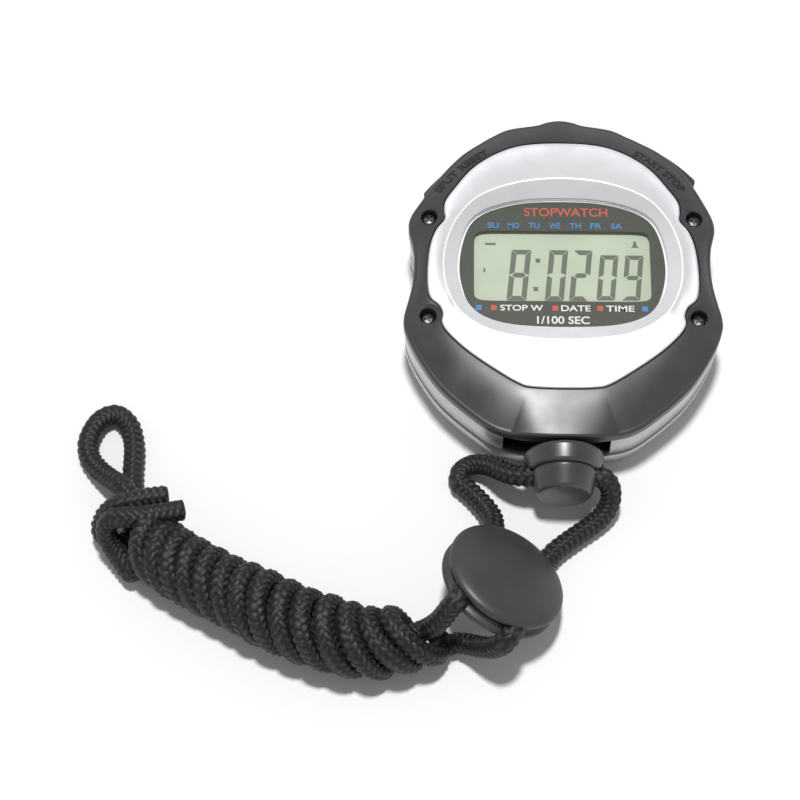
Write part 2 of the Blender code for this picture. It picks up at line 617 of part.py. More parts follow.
def make_battery():
    radius, thick = CELL
    x, y = CELL_CENTRE
    top = CELL_BOTTOM + thick
    cell = ((0, top), (radius - 0.9 * MM, top), (radius - 0.7 * MM, top - 0.3 * MM),
            (radius, top - 0.7 * MM), (radius, CELL_BOTTOM), (0, CELL_BOTTOM))
    turned("coin_cell", "steel", cell, 28, location=(x, y, 0))
    box_piece("battery_contact_negative", "brass", (x - 2 * MM, y - 6.5 * MM, top + GAP),
              (x + 2 * MM, y + 2 * MM, top + GAP + 0.2 * MM))
    strap = 0.25 * MM
    side = radius + GAP
    low = CELL_BOTTOM - GAP - strap
    outline = ((-4 * MM, low), (side + strap, low), (side + strap, BOARD_BOTTOM - GAP),
               (side, BOARD_BOTTOM - GAP), (side, low + strap), (-4 * MM, low + strap))
    upright = Matrix.Translation((x, y, 0)) @ Matrix.Rotation(math.radians(90), 4, "X")
    extruded("battery_contact_positive", "brass", outline, -2 * MM, 2 * MM, upright)


# ---------------------------------------------------------------- buttons and screws

def button_frame(angle, wall_radius):
    """X along the wall, Y outwards, Z up, at the middle of the button's place on the wall."""
    turn = Matrix.Rotation(math.radians(angle - 90), 4, "Z")
    return turn @ Matrix.Translation((0, wall_radius * MM, 0))


def cap_outline(half_width, reach, back):
    """A cap with a bowed outer face and straight sides."""
    bow = 0.55 * MM
    face = [(half_width * math.cos(math.radians(a)), reach - bow + bow * math.sin(math.radians(a)))
            for a in range(0, 181, 20)]
    return [(-half_width, back), (half_width, back)] + face


def make_button(name, angle, wall_radius, half_width, reach):
    half_width *= MM
    reach *= MM
    frame = button_frame(angle, wall_radius)
    drop = half_width ** 2 / (2 * wall_radius * MM)
    flange_front = -WALL - drop - 0.75 * MM
    flange_back = flange_front - 0.8 * MM
    outline = cap_outline(half_width, reach, flange_back)
    curve = extruded(name + "_button", "button", outline, *BUTTON_Z, frame)
    cap = as_mesh(curve)
    bm = bmesh.new()
    add_box(bm, (-half_width - MM, flange_back, BUTTON_FLANGE_Z[0]),
            (half_width + MM, flange_front, BUTTON_FLANGE_Z[1]))
    flange = cutter_from(bm, name + "_flange", frame)
    bm = bmesh.new()
    half, reach_in, (low, high) = PLUNGER
    tip = flange_back - reach_in
    add_box(bm, (-half, tip, low), (half, flange_back + 0.1 * MM, high))
    plunger = cutter_from(bm, name + "_plunger", frame)
    boolean(cap, flange, "UNION")
    boolean(cap, plunger, "UNION")
    make_contact_spring(name, frame, tip - GAP)


def as_mesh(curve_object):
    """Turn a curve piece into a mesh piece, so that Booleans can work on it."""
    bpy.context.view_layer.update()
    graph = bpy.context.evaluated_depsgraph_get()
    mesh = bpy.data.meshes.new_from_object(curve_object.evaluated_get(graph))
    bm = bmesh.new()
    bm.from_mesh(mesh)
    bmesh.ops.remove_doubles(bm, verts=bm.verts, dist=0.00001)
    bmesh.ops.recalc_face_normals(bm, faces=bm.faces)
    bm.to_mesh(mesh)
    bm.free()
    name = curve_object.name
    matrix = curve_object.matrix_local.copy()
    data = curve_object.data
    bpy.data.objects.remove(curve_object, do_unlink=True)
    bpy.data.curves.remove(data)
    obj = bpy.data.objects.new(name, mesh)
    obj.name = name
    PARTS.objects.link(obj)
    obj.parent = ORIGIN
    obj.matrix_local = matrix
    smooth(obj.data)
    return obj


def make_contact_spring(name, frame, front):
    """A leaf that stands behind the plunger, bent back at one end."""
    leaf = 0.25 * MM
    outline = ((3.4 * MM, front), (-2.6 * MM, front), (-3.6 * MM, front - 1.4 * MM),
               (-3.6 * MM + leaf, front - 1.4 * MM), (-2.6 * MM + leaf / 2, front - leaf),
               (3.4 * MM, front - leaf))
    extruded(name + "_contact_spring", "steel", outline, 8.0 * MM, 10.2 * MM, frame)


def make_case_screws():
    radius, height = SCREW_HEAD
    seat = SCREW_SEAT + GAP
    profile = ((0, seat + height), (radius - 0.3 * MM, seat + height), (radius, seat + height - 0.3 * MM),
               (radius, seat), (SCREW_SHANK, seat), (SCREW_SHANK, SCREW_TIP + 0.8 * MM),
               (0.2 * MM, SCREW_TIP), (0, SCREW_TIP))
    for number, (x, y) in enumerate(screw_centres(), start=1):
        name = f"case_screw_{number}"
        screw = turned(name, "dark_steel", profile, 16, location=(x, y, 0))
        slots = bmesh.new()
        top = seat + height
        add_box(slots, (-0.9 * MM, -0.22 * MM, top - 0.5 * MM), (0.9 * MM, 0.22 * MM, top + MM))
        add_box(slots, (-0.22 * MM, -0.9 * MM, top - 0.5 * MM), (0.22 * MM, 0.9 * MM, top + MM))
        cutter = cutter_from(slots, name + "_cross", Matrix.Translation((x, y, 0)))
        boolean(screw, cutter).use_self = True


# ---------------------------------------------------------------- crown

def lying(y, z, axis):
    """A matrix whose Z runs along the given axis, through a point on the case's middle line."""
    return Matrix.Translation((0, y, z)) @ Matrix.Rotation(math.radians(90), 4, axis)


def rod_cutter(name, radius, half_length, matrix):
    """A hidden round bar, centred on the matrix."""
    bm = bmesh.new()
    add_cylinder(bm, radius, -half_length, half_length, sides=20)
    return cutter_from(bm, name, matrix)


def make_crown_mount():
    """The black block behind the opening in the middle case, with the crown's stem."""
    outer, inner = MOUNT_Y
    margin = 0.8 * MM
    block = box_piece("crown_mount", "black_bezel", (NOTCH_X[0] - margin, outer, MID_BOTTOM + GAP),
                      (NOTCH_X[1] + margin, inner, MID_TOP - GAP))
    tip = CROWN_BACK - CROWN_SOCKET[1] + GAP
    back = outer + MM
    middle = lying((tip + back) / 2, CROWN_Z, "X")
    stem = rod_cutter("crown_mount_stem", CROWN_STEM, (back - tip) / 2, middle)
    boolean(block, stem, "UNION")


def make_crown():
    """A turned crown on the Y axis, cross drilled for the cord."""
    profile = [(radius * MM, -distance * MM) for radius, distance in CROWN_PROFILE]
    towards_user = Vector((0, 1, 0)).to_track_quat("Z", "X")
    crown = turned("crown", "black_bezel", profile, 36, (0, CROWN_BACK, CROWN_Z), towards_user)
    across = rod_cutter("crown_cross_hole", CROWN_HOLE, 12 * MM, lying(CROWN_HOLE_Y, CROWN_HOLE_Z, "Y"))
    boolean(crown, across)
    radius, depth = CROWN_SOCKET
    boolean(crown, rod_cutter("crown_socket", radius, depth, lying(CROWN_BACK, CROWN_Z, "X")))


# ---------------------------------------------------------------- cord and its slider

def slider_axes():
    """Across the bores, along the bores and out of the dome, as unit vectors."""
    normal = Vector(SLIDER_NORMAL).normalized()
    along = Vector(SLIDER_BORE_AXIS)
    along = (along - along.dot(normal) * normal).normalized()
    return normal.cross(along), along, normal


def slider_matrix():
    across, along, normal = slider_axes()
    turn = Matrix((across, along, normal)).transposed().to_4x4()
    return Matrix.Translation(SLIDER_CENTRE) @ turn


def half_slider(name, facing):
    """Half of the slider: a flat parting face, a rounded outside and a groove between the halves."""
    profile = [(radius * MM, facing * height * MM) for radius, height in SLIDER_HALF]
    shell = turned(name, "slider", profile[::facing], 32)
    shell.matrix_local = slider_matrix()
    offset, drop = SLIDER_BORE_OFFSET
    for side, word in ((-1, "left"), (1, "right")):
        place_at = Matrix.Translation((side * offset, 0, drop)) @ Matrix.Rotation(math.radians(90), 4, "X")
        boolean(shell, rod_cutter(f"{name}_{word}_bore", SLIDER_BORE, 20 * MM, slider_matrix() @ place_at))


def make_slider():
    half_slider("slider_upper_shell", 1)
    half_slider("slider_lower_shell", -1)


def through_bore(side):
    """Points of a cord that runs straight through one bore, in millimetres."""
    across, along, normal = slider_axes()
    offset, drop = SLIDER_BORE_OFFSET
    middle = Vector(SLIDER_CENTRE) + side * offset * across + drop * normal
    return [tuple((middle + reach * MM * along) / MM) for reach in (-12.3, -10.0, -6.0, 0.0, 6.0, 11.0)]


def to_metres(points):
    return [tuple(value * MM for value in point) for point in points]


def make_cord_runs():
    left = to_metres([*LEFT_TO_SLIDER, *through_bore(-1), *LEFT_TO_HANK])
    right = to_metres([*RIGHT_TO_SLIDER, *through_bore(1), *RIGHT_TO_HANK])
    tube("cord_left_run", "cord", even_path(left, CORD_STEP), CORD_D / 2, 2)
    tube("cord_right_run", "cord", even_path(right, CORD_STEP), CORD_D / 2, 2)


def make_hank():
    stations = even_path([(x * MM, y * MM, radius * MM) for x, y, radius in HANK], CORD_D)
    points = [(x, y, radius + 0.05 * MM) for x, y, radius in stations]
    tube("cord_hank", "cord", points, MM, 4, [radius / MM for _, _, radius in stations])


def make_end_loop():
    tube("cord_end_loop", "cord", even_path(to_metres(END_LOOP), CORD_STEP), CORD_D / 2, 2)


def build():
    make_back_cover()
    make_gasket()
    make_mid_case()
    make_bezel()
    make_face_plate()
    make_lens()
    make_display()
    make_display_holder()
    make_board()
    make_board_screws()
    make_board_components()
    make_buzzer()
    make_battery()
    for name, sizes in BUTTONS.items():
        make_button(name, *sizes)
    make_case_screws()
    make_crown_mount()
    make_crown()
    make_slider()
    make_cord_runs()
    make_hank()
    make_end_loop()


build()
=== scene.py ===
"""Looks of the handheld digital stopwatch: fine shells, a braided neck cord and procedural materials.

Metres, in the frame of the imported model: +Z up, +Y towards 12 o'clock, +X to the right of the display.
Plan sizes are given round the lens centre, in millimetres, and LENS_Y moves them to the model's frame.
"""
import math

import bmesh
import bpy
import numpy as np
from mathutils import Matrix, Vector


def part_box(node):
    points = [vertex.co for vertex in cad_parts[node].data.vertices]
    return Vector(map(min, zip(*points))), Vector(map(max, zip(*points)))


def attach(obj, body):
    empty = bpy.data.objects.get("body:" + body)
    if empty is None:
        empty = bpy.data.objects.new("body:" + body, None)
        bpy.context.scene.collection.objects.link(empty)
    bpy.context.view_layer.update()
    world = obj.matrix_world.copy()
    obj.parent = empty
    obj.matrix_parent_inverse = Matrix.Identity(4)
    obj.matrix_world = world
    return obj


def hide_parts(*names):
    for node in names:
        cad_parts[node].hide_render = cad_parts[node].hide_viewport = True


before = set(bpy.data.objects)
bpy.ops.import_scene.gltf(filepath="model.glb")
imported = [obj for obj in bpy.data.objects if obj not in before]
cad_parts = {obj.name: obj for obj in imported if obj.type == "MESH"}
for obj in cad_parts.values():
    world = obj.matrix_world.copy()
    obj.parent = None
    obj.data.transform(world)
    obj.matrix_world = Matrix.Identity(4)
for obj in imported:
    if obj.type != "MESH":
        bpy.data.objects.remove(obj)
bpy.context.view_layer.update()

MM = 0.001
GAP = 0.3 * MM
LENS_Y = 5.4 * MM                       # the lens centre, up from the middle of the base
TURN = 2.0 * math.pi

BACK_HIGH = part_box("back_cover")[1].z
MID_LOW, MID_HIGH = (corner.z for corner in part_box("mid_case"))
BEZEL_LOW, BEZEL_TOP = (corner.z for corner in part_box("bezel"))
LENS_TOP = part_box("lens_window")[1].z
GLASS_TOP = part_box("lcd_front_glass")[1].z
PLATE_UNDER = 16.2 * MM
LENS_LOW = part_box("lens_window")[0].z
MASK_LOW, MASK_TOP = 15.6 * MM, 15.66 * MM
WINDOW_LOW, WINDOW_HIGH = (-17.85, -7.4), (17.85, 8.85)
BAND_INSET = 0.3 * MM
WALL = 1.8 * MM
BACK_FLOOR = 1.6 * MM
SCREW_X = 27.05 * MM
SCREW_Y = (11.6 * MM, -11.4 * MM)
SCREW_SEAT = 14.0 * MM
PILLAR, SCREW_HOLE, SCREW_WELL = 3.1 * MM, 1.12 * MM, 1.75 * MM     # radii of the screws' pillars and holes
# direction in degrees, radius of the wall, half width, reach past the wall
BUTTONS = {"start_stop": (49, 33.9, 6.0, 3.2), "split_reset": (135, 32.8, 6.0, 2.0),
           "mode": (90, 34.6, 3.3, 1.7)}
BUTTON_LOW, BUTTON_HIGH = 7.0 * MM, 11.4 * MM
BUTTON_SIDE_GAP = 0.35 * MM
BUTTON_RIB = (0.07 * MM, 0.88 * MM)     # depth and pitch of the ribs on a button's face
FLANGE_LOW, FLANGE_HIGH = 6.6 * MM, 11.8 * MM
PLUNGER = (1.2 * MM, 2.4 * MM, (8.0 * MM, 10.2 * MM))       # half width, length, lower and upper face
NOTCH_X = (-12.0 * MM, 9.2 * MM)
CROWN_BACK, CROWN_Z = -38.4 * MM, 9.0 * MM
CROWN_HOLE_Y, CROWN_HOLE_Z = -42.7 * MM, 8.8 * MM

# right halves of the plan outlines, 12 o'clock to 6 o'clock
CASE_HALF = ((0, 36.0), (2.6, 35.6), (4.8, 34.8), (10.6, 33.7), (14.2, 31.8), (16.4, 30.3),
             (20.4, 27.2), (24.7, 22.2), (28.5, 16.4), (30.8, 12.4), (31.2, 9.4), (30.3, 5.2),
             (30.0, 0.8), (30.3, -3.6), (31.1, -7.4), (31.9, -11.0), (31.6, -14.0),
             (29.4, -19.2), (25.0, -26.0), (19.0, -31.8), (13.4, -35.7), (7.0, -37.1), (0, -37.5))
PLATE_HALF = ((0, 28.9), (6.0, 28.6), (10.4, 27.6), (14.8, 25.4), (18.6, 22.3), (21.8, 18.0),
              (23.7, 14.9), (24.0, 12.6), (23.9, 10.5), (25.6, 8.0), (26.7, 4.6), (27.2, 0.0),
              (27.2, -4.6), (26.6, -7.6), (24.8, -9.4), (24.1, -11.3), (24.2, -13.4),
              (22.6, -16.0), (18.6, -19.9), (12.8, -24.2), (8.8, -26.7), (6.2, -27.4), (0, -27.6))
RIDGE_HALF = ((0, 19.5), (8.7, 18.6), (16.4, 15.7), (20.9, 11.0), (23.4, 5.3), (24.1, -0.6),
              (23.2, -6.1), (20.3, -11.4), (14.4, -15.2), (7.0, -16.7), (0, -17.1))
LENS_HALF = ((0, 15.9), (7.0, 15.6), (12.4, 14.4), (16.4, 12.6), (18.9, 9.9), (20.4, 5.4),
             (20.95, 0.2), (20.4, -4.2), (18.9, -8.3), (15.7, -11.4), (10.0, -13.2), (0, -13.7))

BULGE = (44.0, 24.0, 1.1 * MM)          # the right shoulder: direction, half angle in degrees, rise
# the face plate at 12 o'clock, at the sides and at 6 o'clock: its ridge and the foot of its dish
RIDGE_HEIGHTS = (19.1 * MM, 18.2 * MM, 17.6 * MM)
DISH_HEIGHTS = (16.6 * MM, 16.9 * MM, 17.1 * MM)
PLATE_TOP = 17.5 * MM
SHELF_LOW, SHELF_TOP = 14.8 * MM, 15.4 * MM         # the plate's shelf under the lens
LEDGE_LOW, LEDGE_TOP = 14.3 * MM, 15.9 * MM         # the bezel's ledge under the plate
RIM_TOP, RIM_DROP = 15.0 * MM, 0.5 * MM             # the bezel's outer edge, and its drop at 6 o'clock
# arched collar over the crown, at its back and its front: distance, half width, height of its crest
COLLAR_BACK = (-27.6 * MM, 7.3 * MM, 17.3 * MM)
COLLAR_FRONT = (-37.3 * MM, 10.9 * MM, 16.0 * MM)

CORD_D = 4.4 * MM
SLIDER_CENTRE = (-12.2, -65.6, 10.5)
SLIDER_BORE_AXIS = (-0.309, -0.814, 0.491)
SLIDER_NORMAL = (0.454, 0.325, 0.829)
SLIDER_BORE = 2.7 * MM
SLIDER_BORE_OFFSET = (6.05, -0.5)       # to each side of the middle, and below the parting plane
# outline of each half from the middle of its face to the parting groove: radius, height
SLIDER_HALF = ((0.05, 4.2), (3.0, 4.13), (6.0, 3.92), (8.4, 3.56), (10.1, 3.14), (11.2, 2.72),
               (11.85, 2.3), (12.15, 1.9), (12.2, 1.55), (12.05, 1.2), (11.7, 0.9), (11.35, 0.55),
               (11.2, 0.15))

# the cord's routes round the lens centre, in millimetres
LEFT_TO_SLIDER = ((-0.4, -42.7, 8.8), (-4.0, -42.7, 8.8), (-8.0, -42.75, 8.7), (-11.0, -41.6, 7.4),
                  (-14.2, -39.0, 4.9), (-17.4, -37.9, 3.2), (-20.0, -39.0, 2.4), (-20.4, -41.4, 2.3),
                  (-18.4, -43.4, 2.4), (-16.5, -45.5, 2.6), (-14.9, -47.6, 2.9), (-13.9, -49.9, 4.0))
LEFT_TO_HANK = ((-22.3, -73.3, 16.1), (-24.0, -74.7, 13.6), (-25.5, -75.1, 11.2), (-27.4, -75.2, 8.8))
RIGHT_TO_SLIDER = ((0.4, -42.7, 8.8), (4.0, -42.7, 8.8), (7.2, -42.8, 8.7), (9.2, -44.2, 6.8),
                   (9.1, -46.6, 4.1), (7.2, -49.2, 2.6), (4.0, -51.7, 2.3), (0.8, -54.1, 2.3),
                   (-1.9, -56.4, 2.3))
RIGHT_TO_HANK = ((-12.2, -79.0, 12.9), (-14.4, -78.6, 9.2), (-17.2, -76.9, 5.3), (-20.5, -75.5, 3.0),
                 (-23.2, -75.9, 2.4))
# middle line of the wound hank with the outer radius of its turns: x, y, radius
HANK = ((-27.2, -74.9, 6.9), (-32.4, -76.5, 7.0), (-35.9, -77.1, 7.3), (-41.4, -76.6, 7.6),
        (-45.5, -75.5, 7.7), (-50.4, -73.9, 7.6), (-54.9, -71.9, 7.5), (-60.9, -69.0, 7.3),
        (-65.7, -66.6, 7.1), (-70.2, -64.2, 7.0), (-75.1, -61.4, 7.0), (-79.2, -58.4, 6.9),
        (-81.0, -56.2, 6.7))
HANK_TURNS = 14.2
CORE_TO_LOOP = ((-82.4, -53.8, 6.2), (-83.6, -51.0, 5.2), (-84.8, -47.4, 3.9))
END_LOOP = ((-85.3, -44.3, 3.2), (-85.7, -40.0, 2.6), (-85.9, -34.1, 2.3), (-87.2, -29.7, 2.3),
            (-90.0, -27.3, 2.3), (-93.3, -28.7, 2.3), (-95.2, -32.8, 2.3), (-94.8, -36.4, 2.3),
            (-92.8, -39.4, 2.8), (-89.9, -42.3, 4.4), (-87.0, -45.0, 6.6))
LEFT_KNOT = ((-84.9, -48.2, 6.6), (-84.0, -52.0, 4.6), (-85.8, -55.0, 2.9), (-88.8, -55.2, 2.6),
             (-90.8, -53.4, 4.2), (-89.9, -51.6, 7.0), (-88.4, -50.7, 8.8), (-86.5, -50.2, 10.0),
             (-84.4, -49.8, 10.4), (-81.7, -49.1, 10.3), (-79.4, -48.6, 10.0), (-77.9, -48.3, 9.7))
RIGHT_KNOT = ((-84.4, -61.9, 3.2), (-86.6, -59.3, 4.0), (-88.2, -57.2, 5.0),
              (-89.2, -55.9, 6.5), (-89.1, -54.3, 9.0), (-87.6, -53.5, 10.6), (-85.2, -53.6, 11.5),
              (-82.5, -53.5, 11.7), (-79.6, -52.9, 11.5), (-76.7, -52.2, 11.0), (-74.4, -51.6, 10.6))

CAMERA_AT = (-25.48 * MM, -213.67 * MM, 403.99 * MM)
CAMERA_DOWN = 64.0                      # degrees below the horizon
CAMERA_HEADING = -2.08                  # degrees to the right of +Y
CAMERA_ROLL = -1.32
CAMERA_LENS = 99.0
KEY_AT, KEY_AIM = (-0.03, 0.10, 1.10), (-0.03, -0.02, 0.0)
KEY_SIZE, KEY_POWER = 0.13, 10.5
HORIZON_LIGHT, ZENITH_LIGHT = 0.74, 0.14
FLOOR_HALF = 4.0

# the braid: eight strands each way round, each over two and under two
STRANDS = 8
BRAID_PITCH = 1.35 * MM
BRAID_RELIEF = 0.42 * MM
BRAID_SIDES = 36
BRAID_STEP = BRAID_PITCH / 6

RNG = np.random.default_rng(7)


# ---------------------------------------------------------------- curves and outlines

def catmull_rom(points, closed, per_span=16):
    """Points along a smooth curve through the given ones."""
    pts = np.array(points, dtype=float)
    if closed:
        pts = np.vstack([pts[-1:], pts, pts[:2]])
    else:
        pts = np.vstack([2 * pts[:1] - pts[1:2], pts, 2 * pts[-1:] - pts[-2:-1]])
    t = np.linspace(0.0, 1.0, per_span, endpoint=False)[:, None]
    out = []
    for a, b, c, d in zip(pts[:-3], pts[1:-2], pts[2:-1], pts[3:]):
        out.append(0.5 * (2 * b + (c - a) * t + (2 * a - 5 * b + 4 * c - d) * t ** 2
                          + (3 * b - a - 3 * c + d) * t ** 3))
    if not closed:
        out.append(pts[-2][None, :])
    return np.vstack(out)


def even_path(points, spacing, per_span=16):
    """A smooth route resampled at about an even spacing."""
    fine = catmull_rom(points, closed=False, per_span=per_span)
    steps = np.linalg.norm(np.diff(fine[:, :3], axis=0), axis=1)
    along = np.concatenate([[0.0], np.cumsum(steps)])
    count = max(2, round(along[-1] / spacing)) + 1
    wanted = np.linspace(0.0, along[-1], count)
    return np.stack([np.interp(wanted, along, fine[:, k]) for k in range(fine.shape[1])], axis=1)


ANGLES = np.arange(0.0, 360.0, 0.5)


def outline_radii(half):
    """Radius of a mirrored half outline at each of ANGLES, in metres."""
    left = [(-x, y) for x, y in half[-2:0:-1]]
    curve = catmull_rom(list(half) + left, closed=True) * MM
    theta = np.degrees(np.arctan2(curve[:, 1], curve[:, 0])) % 360.0
    order = np.argsort(theta)
    radius = np.hypot(curve[:, 0], curve[:, 1])
    return np.interp(ANGLES, theta[order], radius[order], period=360.0)


def swollen(radii):
    """The case's outline with the extra swell of its right shoulder."""
    middle, reach, rise = BULGE
    return radii + rise * np.clip(1.0 - ((ANGLES - middle) / reach) ** 2, 0.0, 1.0) ** 1.5


def round_the_lens(heights):
    """Heights that change smoothly from 12 o'clock over the sides to 6 o'clock."""
    top, sides, bottom = heights
    up = np.sin(np.radians(ANGLES))
    towards_top, towards_bottom = np.clip(up, 0, 1) ** 1.5, np.clip(-up, 0, 1) ** 1.5
    return sides + (top - sides) * towards_top + (bottom - sides) * towards_bottom


CASE = swollen(outline_radii(CASE_HALF))
PLATE = outline_radii(PLATE_HALF)
RIDGE = outline_radii(RIDGE_HALF)
LENS = outline_radii(LENS_HALF)
BAND = CASE - BAND_INSET


def ring(radii, height):
    """A closed ring round the lens centre."""
    theta = np.radians(ANGLES)
    height = np.broadcast_to(height, theta.shape)
    return np.stack([radii * np.cos(theta), radii * np.sin(theta) + LENS_Y, height], axis=1)


def rounded(profile, radius, steps=5):
    """A polyline of (across, up) pairs with its inner corners turned into arcs."""
    pts = [Vector(p) for p in profile]
    out = [tuple(pts[0])]
    for before, corner, after in zip(pts, pts[1:], pts[2:]):
        back, on = before - corner, after - corner
        reach = min(radius, 0.45 * back.length, 0.45 * on.length)
        start = corner + reach * back.normalized()
        end = corner + reach * on.normalized()
        for k in range(steps + 1):
            t = k / steps
            out.append(tuple((1 - t) ** 2 * start + 2 * t * (1 - t) * corner + t ** 2 * end))
    out.append(tuple(pts[-1]))
    return out


# ---------------------------------------------------------------- mesh building

def new_mesh_object(name, vertices, faces, sharp_angle=40.0):
    mesh = bpy.data.meshes.new(name)
    mesh.from_pydata(np.asarray(vertices).tolist(), [], np.asarray(faces, dtype=object).tolist())
    mesh.shade_smooth()
    mesh.set_sharp_from_angle(angle=math.radians(sharp_angle))
    obj = bpy.data.objects.new(name, mesh)
    bpy.context.scene.collection.objects.link(obj)
    return obj


def strip_faces(rows, count, closed_rows=False):
    """Quads between neighbouring rings that have count points each."""
    i = np.arange(count)
    j = (i + 1) % count
    faces = []
    for row in range(rows if closed_rows else rows - 1):
        low, high = row * count, ((row + 1) % rows) * count
        faces.extend(np.stack([low + i, low + j, high + j, high + i], axis=1).tolist())
    return faces


def loft(name, rings, hollow=False, sharp_angle=40.0):
    """Skin a stack of rings. A hollow loft joins its last ring to its first one; others have closed ends."""
    rings = np.asarray(rings)
    rows, count = rings.shape[:2]
    faces = strip_faces(rows, count, closed_rows=hollow)
    if not hollow:
        faces.append(list(range(count))[::-1])
        faces.append([(rows - 1) * count + k for k in range(count)])
    obj = new_mesh_object(name, rings.reshape(-1, 3), faces, sharp_angle)
    fix_normals(obj)
    return obj


def fix_normals(obj):
    bm = bmesh.new()
    bm.from_mesh(obj.data)
    bmesh.ops.recalc_face_normals(bm, faces=bm.faces)
    bm.to_mesh(obj.data)
    bm.free()


def turned(name, profile, sides, matrix=Matrix.Identity(4), sharp_angle=40.0):
    """A solid of revolution about the matrix's Z from (radius, height) pairs, with closed ends."""
    theta = np.linspace(0.0, TURN, sides, endpoint=False)
    across, up = np.cos(theta), np.sin(theta)
    rings = [np.stack([r * across, r * up, np.full(sides, z)], axis=1) for r, z in profile]
    obj = loft(name, rings, sharp_angle=sharp_angle)
    obj.data.transform(matrix)
    return obj


def carve(obj, cutters, operation="DIFFERENCE"):
    """Cut every cutter out of the piece, or join it to the piece, and throw the cutter away."""
    for cutter in cutters:
        mod = obj.modifiers.new("carve", "BOOLEAN")
        mod.operation = operation
        mod.solver = "EXACT"
        mod.object = cutter
    bpy.context.view_layer.update()
    graph = bpy.context.evaluated_depsgraph_get()
    mesh = bpy.data.meshes.new_from_object(obj.evaluated_get(graph))
    obj.modifiers.clear()
    obj.data = mesh
    for cutter in cutters:
        bpy.data.objects.remove(cutter, do_unlink=True)
    obj.data.shade_smooth()
    obj.data.set_sharp_from_angle(angle=math.radians(35.0))
    return obj


def box_object(name, low, high, matrix=Matrix.Identity(4)):
    bm = bmesh.new()
    low, high = Vector(low), Vector(high)
    placed = matrix @ Matrix.Translation((low + high) / 2) @ Matrix.Diagonal((*(high - low), 1))
    bmesh.ops.create_cube(bm, size=1.0, matrix=placed)
    mesh = bpy.data.meshes.new(name)
    bm.to_mesh(mesh)
    bm.free()
    obj = bpy.data.objects.new(name, mesh)
    bpy.context.scene.collection.objects.link(obj)
    return obj


def finish_piece(obj, material, body="case", replaces=()):
    """Give a piece its material, put it on its body and hide the nodes it stands for."""
    obj.data.materials.clear()
    obj.data.materials.append(material)
    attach(obj, body)
    if replaces:
        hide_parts(*replaces)
    return obj


# ---------------------------------------------------------------- materials

class Shader:
    """A material with one Principled BSDF and short ways to add procedural detail."""

    def __init__(self, name, colour, roughness, metallic=0.0, **sockets):
        self.material = bpy.data.materials.new(name)
        self.material.use_nodes = True
        self.tree = self.material.node_tree
        self.bsdf = self.tree.nodes["Principled BSDF"]
        self.bsdf.inputs["Base Color"].default_value = (*colour, 1.0)
        self.bsdf.inputs["Roughness"].default_value = roughness
        self.bsdf.inputs["Metallic"].default_value = metallic
        for socket, value in sockets.items():
            self.bsdf.inputs[socket.replace("_", " ")].default_value = value
        self.place = self.tree.nodes.new("ShaderNodeTexCoord").outputs["Object"]

    def link(self, start, end):
        self.tree.links.new(start, end)

    def stretched(self, scale):
        """Object coordinates scaled by a different amount along each axis."""
        node = self.tree.nodes.new("ShaderNodeMapping")
        node.inputs["Scale"].default_value = scale
        self.link(self.place, node.inputs["Vector"])
        return node.outputs["Vector"]

    def noise(self, size, detail=2.0, vector=None):
        """Noise whose features are about size metres across."""
        node = self.tree.nodes.new("ShaderNodeTexNoise")
        node.inputs["Scale"].default_value = 1.0 / size
        node.inputs["Detail"].default_value = detail
        self.link(self.place if vector is None else vector, node.inputs["Vector"])
        return node.outputs["Fac"]

    def cells(self, size, output="Color"):
        node = self.tree.nodes.new("ShaderNodeTexVoronoi")
        node.inputs["Scale"].default_value = 1.0 / size
        self.link(self.place, node.inputs["Vector"])
        return node.outputs[output]

    def ramp(self, factor, low, high, start=0.3, end=0.7):
        """Turn a factor into a value or colour between low and high."""
        node = self.tree.nodes.new("ShaderNodeMapRange")
        node.inputs["From Min"].default_value = start
        node.inputs["From Max"].default_value = end
        self.link(factor, node.inputs["Value"])
        if isinstance(low, (int, float)):
            node.inputs["To Min"].default_value = low
            node.inputs["To Max"].default_value = high
            return node.outputs["Result"]
        mix = self.tree.nodes.new("ShaderNodeMix")
        mix.data_type = "RGBA"
        self.link(node.outputs["Result"], mix.inputs["Factor"])
        for socket, colour in zip([s for s in mix.inputs if s.type == "RGBA"], (low, high)):
            socket.default_value = (*colour, 1.0)
        return [s for s in mix.outputs if s.type == "RGBA"][0]

    def colour(self, output):
        self.link(output, self.bsdf.inputs["Base Color"])

    def roughness(self, output):
        self.link(output, self.bsdf.inputs["Roughness"])

    def bump(self, height, distance, strength=1.0):
        node = self.tree.nodes.new("ShaderNodeBump")
        node.inputs["Distance"].default_value = distance
        node.inputs["Strength"].default_value = strength
        self.link(height, node.inputs["Height"])
        previous = self.bsdf.inputs["Normal"].links
        if previous:
            self.link(previous[0].from_socket, node.inputs["Normal"])
        self.link(node.outputs["Normal"], self.bsdf.inputs["Normal"])


def moulded(name, colour, roughness, grain=0.16 * MM, relief=0.008 * MM, **sockets):
    """Injection moulded plastic: fine spark-eroded grain and slightly uneven gloss."""
    spread = 0.05
    shader = Shader(name, colour, roughness, **sockets)
    handled = shader.noise(9 * MM, 3.0)
    light = tuple(1.18 * c for c in colour)
    dark = tuple(0.88 * c for c in colour)
    shader.colour(shader.ramp(handled, dark, light))
    shader.roughness(shader.ramp(handled, roughness - spread, roughness + spread))
    shader.bump(shader.noise(grain, 3.0), relief)
    return shader.material


